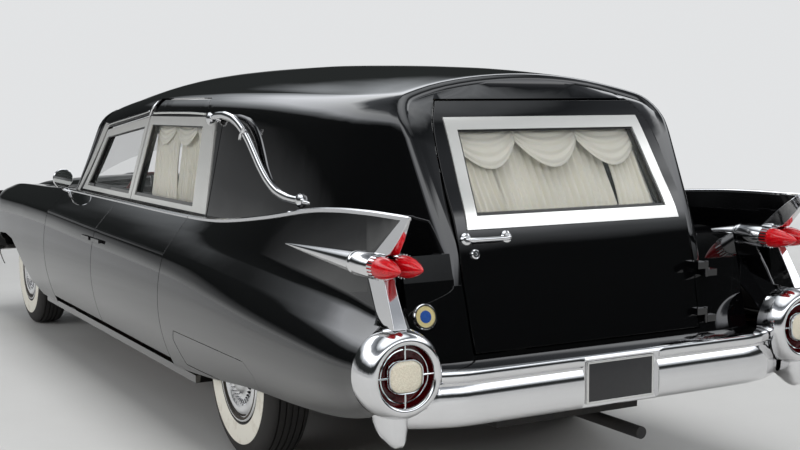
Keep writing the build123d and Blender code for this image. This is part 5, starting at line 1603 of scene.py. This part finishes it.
def makeGrille():
    f = front
    surround = carve(box(*f["surround"], f["frameEdge"]), box(*f["surroundHole"]))
    newPiece("grilleFrame", surround, plating, "car_body", bevel=f["edge"])
    (near, far), half = f["barX"], f["barHalf"]
    parts = [box((near, -half, z), (far, half, z + f["barHigh"]), f["barEdge"]) for z in f["barLevels"]]
    places = [y * mm for y in range(*f["postRange"])]
    parts += [moved(box(*f["post"], f["postEdge"]), (0, y, 0)) for y in places]
    parts += [turned(f["jewel"], (f["jewelX"], y, z + f["jewelLift"]), "x", facets["stem"])
              for z in f["barLevels"] for y in places]
    newPiece("grilleJewels", joined(*parts), plating, "car_body", replaces=["grille"])
    # A dark sheet right behind the bars fills the grille opening as painted shade
    newPiece("grilleShadeSheet", box(*f["back"]), chassisBlack, "car_body")


def atLamps(profile, steps):
    f = front
    return [turned(profile, (f["lampX"], side * y * mm, f["lampZ"] * mm), "x", steps)
            for y in f["lampY"] for side, _ in hands]


def makeFrontEnd():
    f = front
    nose = carve(box(*f["nose"], f["noseEdge"]), box(*f["noseHole"]))
    nose = carve(nose, joined(*atLamps(f["lampHole"], facets["pod"])))
    newPiece("noseSkin", nose, paint, "car_body", replaces=["nose_panel"], bevel=f["edge"])
    makeGrille()
    newPiece("lampRims", joined(*atLamps(f["lampRim"], facets["ring"])), plating, "car_body",
             sharpAngle=f["lampSharp"])
    newPiece("lampFaces", joined(*atLamps(f["lampFace"], facets["ring"])), lampGlass, "car_body",
             replaces=["headlamps"], sharpAngle=f["lampSharp"])
    smooth = [(point.x, point.y) for point in curvePath([(x, y, 0) for x, y in f["path"]], f["pathSteps"])]
    smooth += [(x, -y) for x, y in reversed(smooth[:-1])]
    parts = [sweptBar(range(len(smooth)), lambda k: bumperPathLoop(k, smooth))]
    parts += [sided(box(*f["bracket"], f["bracketEdge"]), side) for side, _ in hands]
    newPiece("frontBumper", joined(*parts), plating, "car_body", replaces=["front_bumper"],
             sharpAngle=f["bumperSharp"])
    x, y, z = f["parkingPlace"]
    parking = [turned(f["parking"], (x, side * y, z), "x", facets["cap"]) for side, _ in hands]
    newPiece("parkingLamps", joined(*parking), lampGlass, "car_body")


def makeMirror():
    m = mirror
    head, face = (turned(m[part], m["place"], "x", facets["disc"]) for part in ("head", "face"))
    stalk = tube(curvePath(m["stalk"], m["stalkSteps"]), m["stalkRadius"], facets["bar"])
    foot = turned(m["foot"], m["footPlace"], "z", facets["boss"])
    newPiece("mirrorShell", joined(head, stalk, foot), plating, "front_left_door_leaf",
             replaces=["door_mirror"])
    newPiece("mirrorFace", face, mirrorGlass, "front_left_door_leaf")


mirrorGlass = Finish("mirrorGlass", (0.9, 0.92, 0.92), Metallic=1.0, Roughness=0.01).material
makeHood()
makeFrontEnd()
makeMirror()
print("front end made")


# Cabin

cabin = {
    "boxPower": 8, "puffPowers": (4, 12, 6), "dashEdge": 0.008, "dialEdge": 0.006, "stripEdge": 0.002,
    "channels": 9, "cuts": 27, "crown": 0.16, "softEdge": 85,
    "seat": ((0.182, -0.618, 0.521), (0.718, 0.618, 0.641)),
    "back": ((-0.058, -0.618, -0.2), (0.058, 0.618, 0.222)), "backLean": -5,
    "backPlace": (0.118, 0, 0.762),
    "dash": ((1.3, 0.76), (1.4195, 0.742), (1.4195, 0.953), (1.33, 0.9525), (1.291, 0.947),
        (1.262, 0.926), (1.252, 0.9), (1.262, 0.875), (1.29, 0.86), (1.294, 0.8)), "dashHalf": 0.688,
    "dials": ((1.248, 0.2, 0.868), (1.262, 0.52, 0.918)),
    "strip": ((1.2485, -0.6, 0.885), (1.2545, 0.18, 0.897))
}

steering = {
    "ringSteps": 40,
    "centre": (1.05, 0.36, 0.907), "aim": (-230, 0, 55), "rim": 0.19, "rimThick": 0.0115, "rimSteps": 64,
    "ring": 0.118, "ringBehind": -0.006, "ringThick": 0.004,
    "spoke": ((0.02, -0.004), (0.1, -0.012), (0.186, 0)), "spokeThick": 0.008,
    "hub": ((0, 0.012), (0.018, 0.01), (0.034, 0.002), (0.04, -0.01), (0.03, -0.024), (0, -0.024)),
    "column": ((1.29, 0.36, 0.85), (1.062, 0.36, 0.904)), "columnRadii": (0.022, 0.019)
}


def cushionForm(low, high, along):
    bm = bmesh.new()
    bmesh.ops.create_cube(bm, size=2)
    bmesh.ops.subdivide_edges(bm, edges=bm.edges[:], cuts=cabin["cuts"], use_grid_fill=True)
    for vert in bm.verts:
        p = vert.co
        far = [p[k] ** cabin["boxPower"] for k in range(3)]
        far = [1 - far[k - 2] / 2 - far[k - 1] / 2 + far[k - 2] * far[k - 1] / 3 for k in range(3)]
        q = Vector([p[k] * math.sqrt(max(0, far[k])) for k in range(3)])
        rib = abs(math.sin(q[1] * cabin["channels"] * math.pi)) ** 0.5
        a, b, c = cabin["puffPowers"]
        puff = (1 - q[0] ** a) * (1 - abs(q[1]) ** b) * (1 - abs(q[2]) ** c if along == 0 else 1)
        q[2 if along == 2 else 0] *= 1 + cabin["crown"] * puff * (rib - 1) if p[along] > 0 else 1
        vert.co = q
    size = [(high[k] - low[k]) / 2 for k in range(3)]
    bmesh.ops.scale(bm, vec=size, verts=bm.verts)
    return moved(bm, [(high[k] + low[k]) / 2 for k in range(3)])


def makeCabin():
    c = cabin
    cushion = cushionForm(*c["seat"], 2)
    newPiece("seatCushion", cushion, maroonHide, "car_body", sharpAngle=c["softEdge"],
                       replaces=["front_seat"])
    back = moved(spun(cushionForm(*c["back"], 0), c["backLean"], "Y"), c["backPlace"])
    newPiece("seatBack", back, maroonHide, "car_body", sharpAngle=c["softEdge"])
    dash = prism(c["dash"], 1, -c["dashHalf"], c["dashHalf"])
    newPiece("dashShell", dash, maroonPaint, "car_body", replaces=["dashboard"],
             bevel=c["dashEdge"])
    newPiece("dials", box(*c["dials"], c["dialEdge"]), dialBlack, "car_body")
    newPiece("dashStrip", box(*c["strip"], c["stripEdge"]), steel, "car_body")


def makeSteering():
    s = steering
    turn = Vector(s["aim"]).normalized().to_track_quat("Z", "Y").to_matrix().to_4x4()
    circle = [(*circled(s["rim"], k / s["rimSteps"]), 0) for k in range(s["rimSteps"])]
    rim = tube(circle, s["rimThick"], facets["bar"], True)
    spokes = [tube([(along * side, 0, z) for along, z in s["spoke"]], s["spokeThick"], facets["rod"])
              for side, _ in hands]
    hub = turned(s["hub"], (0, 0, 0), "z", facets["hub"])
    arc = [(*circled(s["ring"], k / s["ringSteps"]), s["ringBehind"])
           for k in range(-s["ringSteps"] // 2, 1)]
    ring = tube(arc, s["ringThick"], facets["wire"])
    place = Matrix.Translation(s["centre"]) @ turn @ Matrix.Rotation(math.radians(90), 4, "Z")
    for part in (rim, hub, ring, *spokes):
        part.transform(place)
    newPiece("steeringRim", joined(rim), maroonHide, "car_body", replaces=["steering_wheel"])
    newPiece("steeringTrim", joined(hub, ring, *spokes), plating, "car_body")
    newPiece("column", tube(s["column"], s["columnRadii"], facets["column"]), maroonPaint, "car_body")


makeCabin()
makeSteering()
print("cabin made")


# Finishes of the pieces that stay as the CAD has them

finishes = {
    paint: ("cowl", "tail_surround", "sills_and_posts", "front_left_door", "front_right_door",
        "rear_left_door", "rear_right_door", "tail_door"),
    chassisBlack: ("chassis_frame", "rear_axle", "wheelhouses", "front_left_wheel", "front_right_wheel",
        "rear_left_wheel", "rear_right_wheel"),
    ironPaint: ("driveshaft", "engine_block", "exhaust", "fuel_tank", "knuckle_left", "knuckle_right"),
    coreMaterial: ("radiator",), maroonPile: ("cab_floor",), wood: ("load_deck",),
    maroonPaint: ("seat_base",)
}

for finish, names in finishes.items():
    for name in names:
        slots = nodes[name].material_slots
        if not slots:
            nodes[name].data.materials.append(finish)
        for each in slots:
            each.link = "OBJECT"
            each.material = finish
print("finishes given")


# Floor, lights and camera

rays = ("Is Camera Ray", "Is Glossy Ray", "Is Transmission Ray")


def floorMaterial():
    f = Finish("floorPale")
    f.put("Base Color", f.mix(f.noise(1.3, 6), (0.52, 0.52, 0.51), (0.6, 0.6, 0.59)))
    f.put("Roughness", f.span(f.noise(5, 5), 0.5, 0.62))
    f.bump(f.noise(90, 4), 0.05, 0.002)
    reach = f.node("ShaderNodeVectorMath", {"operation": "LENGTH"}, {0: f.where()}, "Value")
    far = f.node("ShaderNodeMapRange", {"interpolation_type": "SMOOTHSTEP"},
                 {0: reach, 1: studio["fade"][0], 2: studio["fade"][1], 3: 0.0, 4: 1.0})
    seen = [f.node("ShaderNodeLightPath", out=kind) for kind in rays]
    glow = f.node("ShaderNodeEmission", {}, {0: (*studio["backdrop"], 1), 1: 1.0})
    shade = Sock(f, f.shader.outputs[0])
    blend = f.node("ShaderNodeMixShader", {},
                   {0: far * (seen[0] + seen[1] * 0.4 + seen[2]), 1: shade, 2: glow})
    f.feed(f.tree.nodes["Material Output"].inputs["Surface"], blend)
    return f.material


def addLight(name, place, aim, size, power, mirrored):
    lamp = bpy.data.lights.new(name, "AREA")
    lamp.shape = "RECTANGLE"
    lamp.size, lamp.size_y = size
    lamp.energy = power
    item = linked(name, lamp)
    item.location = place
    item.rotation_euler = (Vector(aim) - Vector(place)).to_track_quat("-Z", "Y").to_euler()
    item.visible_glossy = mirrored


studio = {
    "floorSize": 60, "fade": (4.5, 13.0),
    "lights": (("overhead", (-0.6, 0.2, 7.5), (-0.6, 0, 0.6), (11.0, 4.0), 430, False),
        ("leftSide", (-1.2, 9.0, 4.2), (-0.4, 0.3, 0.7), (12.0, 2.6), 340, False),
        ("rear", (-10.5, 1.5, 4.4), (-2.4, 0.2, 0.8), (5.0, 2.6), 210, False),
        ("rightSide", (1.5, -9.0, 4.2), (0, 0, 0.9), (10.0, 2.6), 240, False)),
    "backdrop": (0.76, 0.77, 0.78), "ambient": 0.42, "cloud": (5.0, 6.0, 0.05), "horizon": (0.5, 0.475),
    "sky": ((0.0, (0.46, 0.46, 0.45)), (0.46, (0.46, 0.46, 0.45)), (0.49, (0.6, 0.61, 0.61)),
        (0.515, (0.2, 0.205, 0.21)), (0.545, (0.02, 0.022, 0.022)), (0.635, (0.03, 0.033, 0.033)),
        (0.68, (0.6, 0.63, 0.66)), (0.73, (1.9, 1.95, 2.05)), (0.8, (2.2, 2.25, 2.3)),
        (0.84, (0.35, 0.37, 0.4)), (0.9, (0.1, 0.11, 0.12)), (0.95, (1.2, 1.25, 1.3)),
        (1.0, (1.8, 1.85, 1.9)))
}


def makeStudio():
    floor = bmesh.new()
    bmesh.ops.create_grid(floor, x_segments=1, y_segments=1, size=studio["floorSize"])
    mesh = bpy.data.meshes.new("floor")
    floor.to_mesh(mesh)
    floor.free()
    mesh.materials.append(floorMaterial())
    linked("floor", mesh)
    for each in studio["lights"]:
        addLight(*each)
    world = bpy.data.worlds.new("studio")
    bpy.context.scene.world = world
    world.use_nodes = True
    f = WorldShade(world)
    (size, detail, drifting), (slope, middle) = studio["cloud"], studio["horizon"]
    around = f.node("ShaderNodeTexCoord", out="Generated")
    up = f.node("ShaderNodeSeparateXYZ", {}, {0: around}, "Z")
    cloud = f.node("ShaderNodeTexNoise", {}, {"Vector": around, "Scale": size, "Detail": detail})
    height = f.node("ShaderNodeMath", {"operation": "MULTIPLY_ADD"}, {0: up, 1: slope, 2: middle})
    drift = f.node("ShaderNodeMath", {"operation": "MULTIPLY_ADD"}, {0: cloud, 1: drifting, 2: height})
    backdrop = (*studio["backdrop"], 1)
    plain = f.node("ShaderNodeBackground", {}, {"Color": backdrop, "Strength": studio["ambient"]})
    seen = f.node("ShaderNodeBackground", {}, {"Color": backdrop, "Strength": 1.0})
    sky = f.node("ShaderNodeBackground", {}, {"Color": f.ramp(drift, *studio["sky"]), "Strength": 1.0})
    direct, glossy, through = (f.node("ShaderNodeLightPath", out=kind) for kind in rays)
    mirrored = f.node("ShaderNodeMixShader", {}, {0: glossy, 1: plain, 2: sky})
    either = direct.math("MAXIMUM", through)
    whole = f.node("ShaderNodeMixShader", {}, {0: either, 1: mirrored, 2: seen})
    f.feed(f.tree.nodes["World Output"].inputs["Surface"], whole)


camera = {"place": (-6.623, 2.826, 1.524), "yaw": -29.01, "pitch": -5.18, "roll": -0.36, "focal": 1244.7,
          "width": 800, "shift": (-0.16, -8.03), "sensor": 36, "far": 300}


def makeCamera():
    c = camera
    lens = bpy.data.cameras.new("main")
    lens.sensor_width = c["sensor"]
    lens.lens = c["focal"] * c["sensor"] / c["width"]
    lens.shift_x = c["shift"][0] / c["width"]
    lens.shift_y = c["shift"][1] / c["width"]
    lens.clip_end = c["far"]
    item = linked("main", lens)
    yaw, pitch = math.radians(c["yaw"]), math.radians(c["pitch"])
    forward = Vector((math.cos(yaw) * math.cos(pitch), math.sin(yaw) * math.cos(pitch), math.sin(pitch)))
    turn = forward.to_track_quat("-Z", "Y").to_matrix() @ Matrix.Rotation(math.radians(c["roll"]), 3, "Z")
    item.matrix_world = Matrix.Translation(c["place"]) @ turn.to_4x4()
    bpy.context.scene.camera = item


makeStudio()
makeCamera()
bpy.context.scene.view_settings.view_transform = "Standard"
print("studio made")
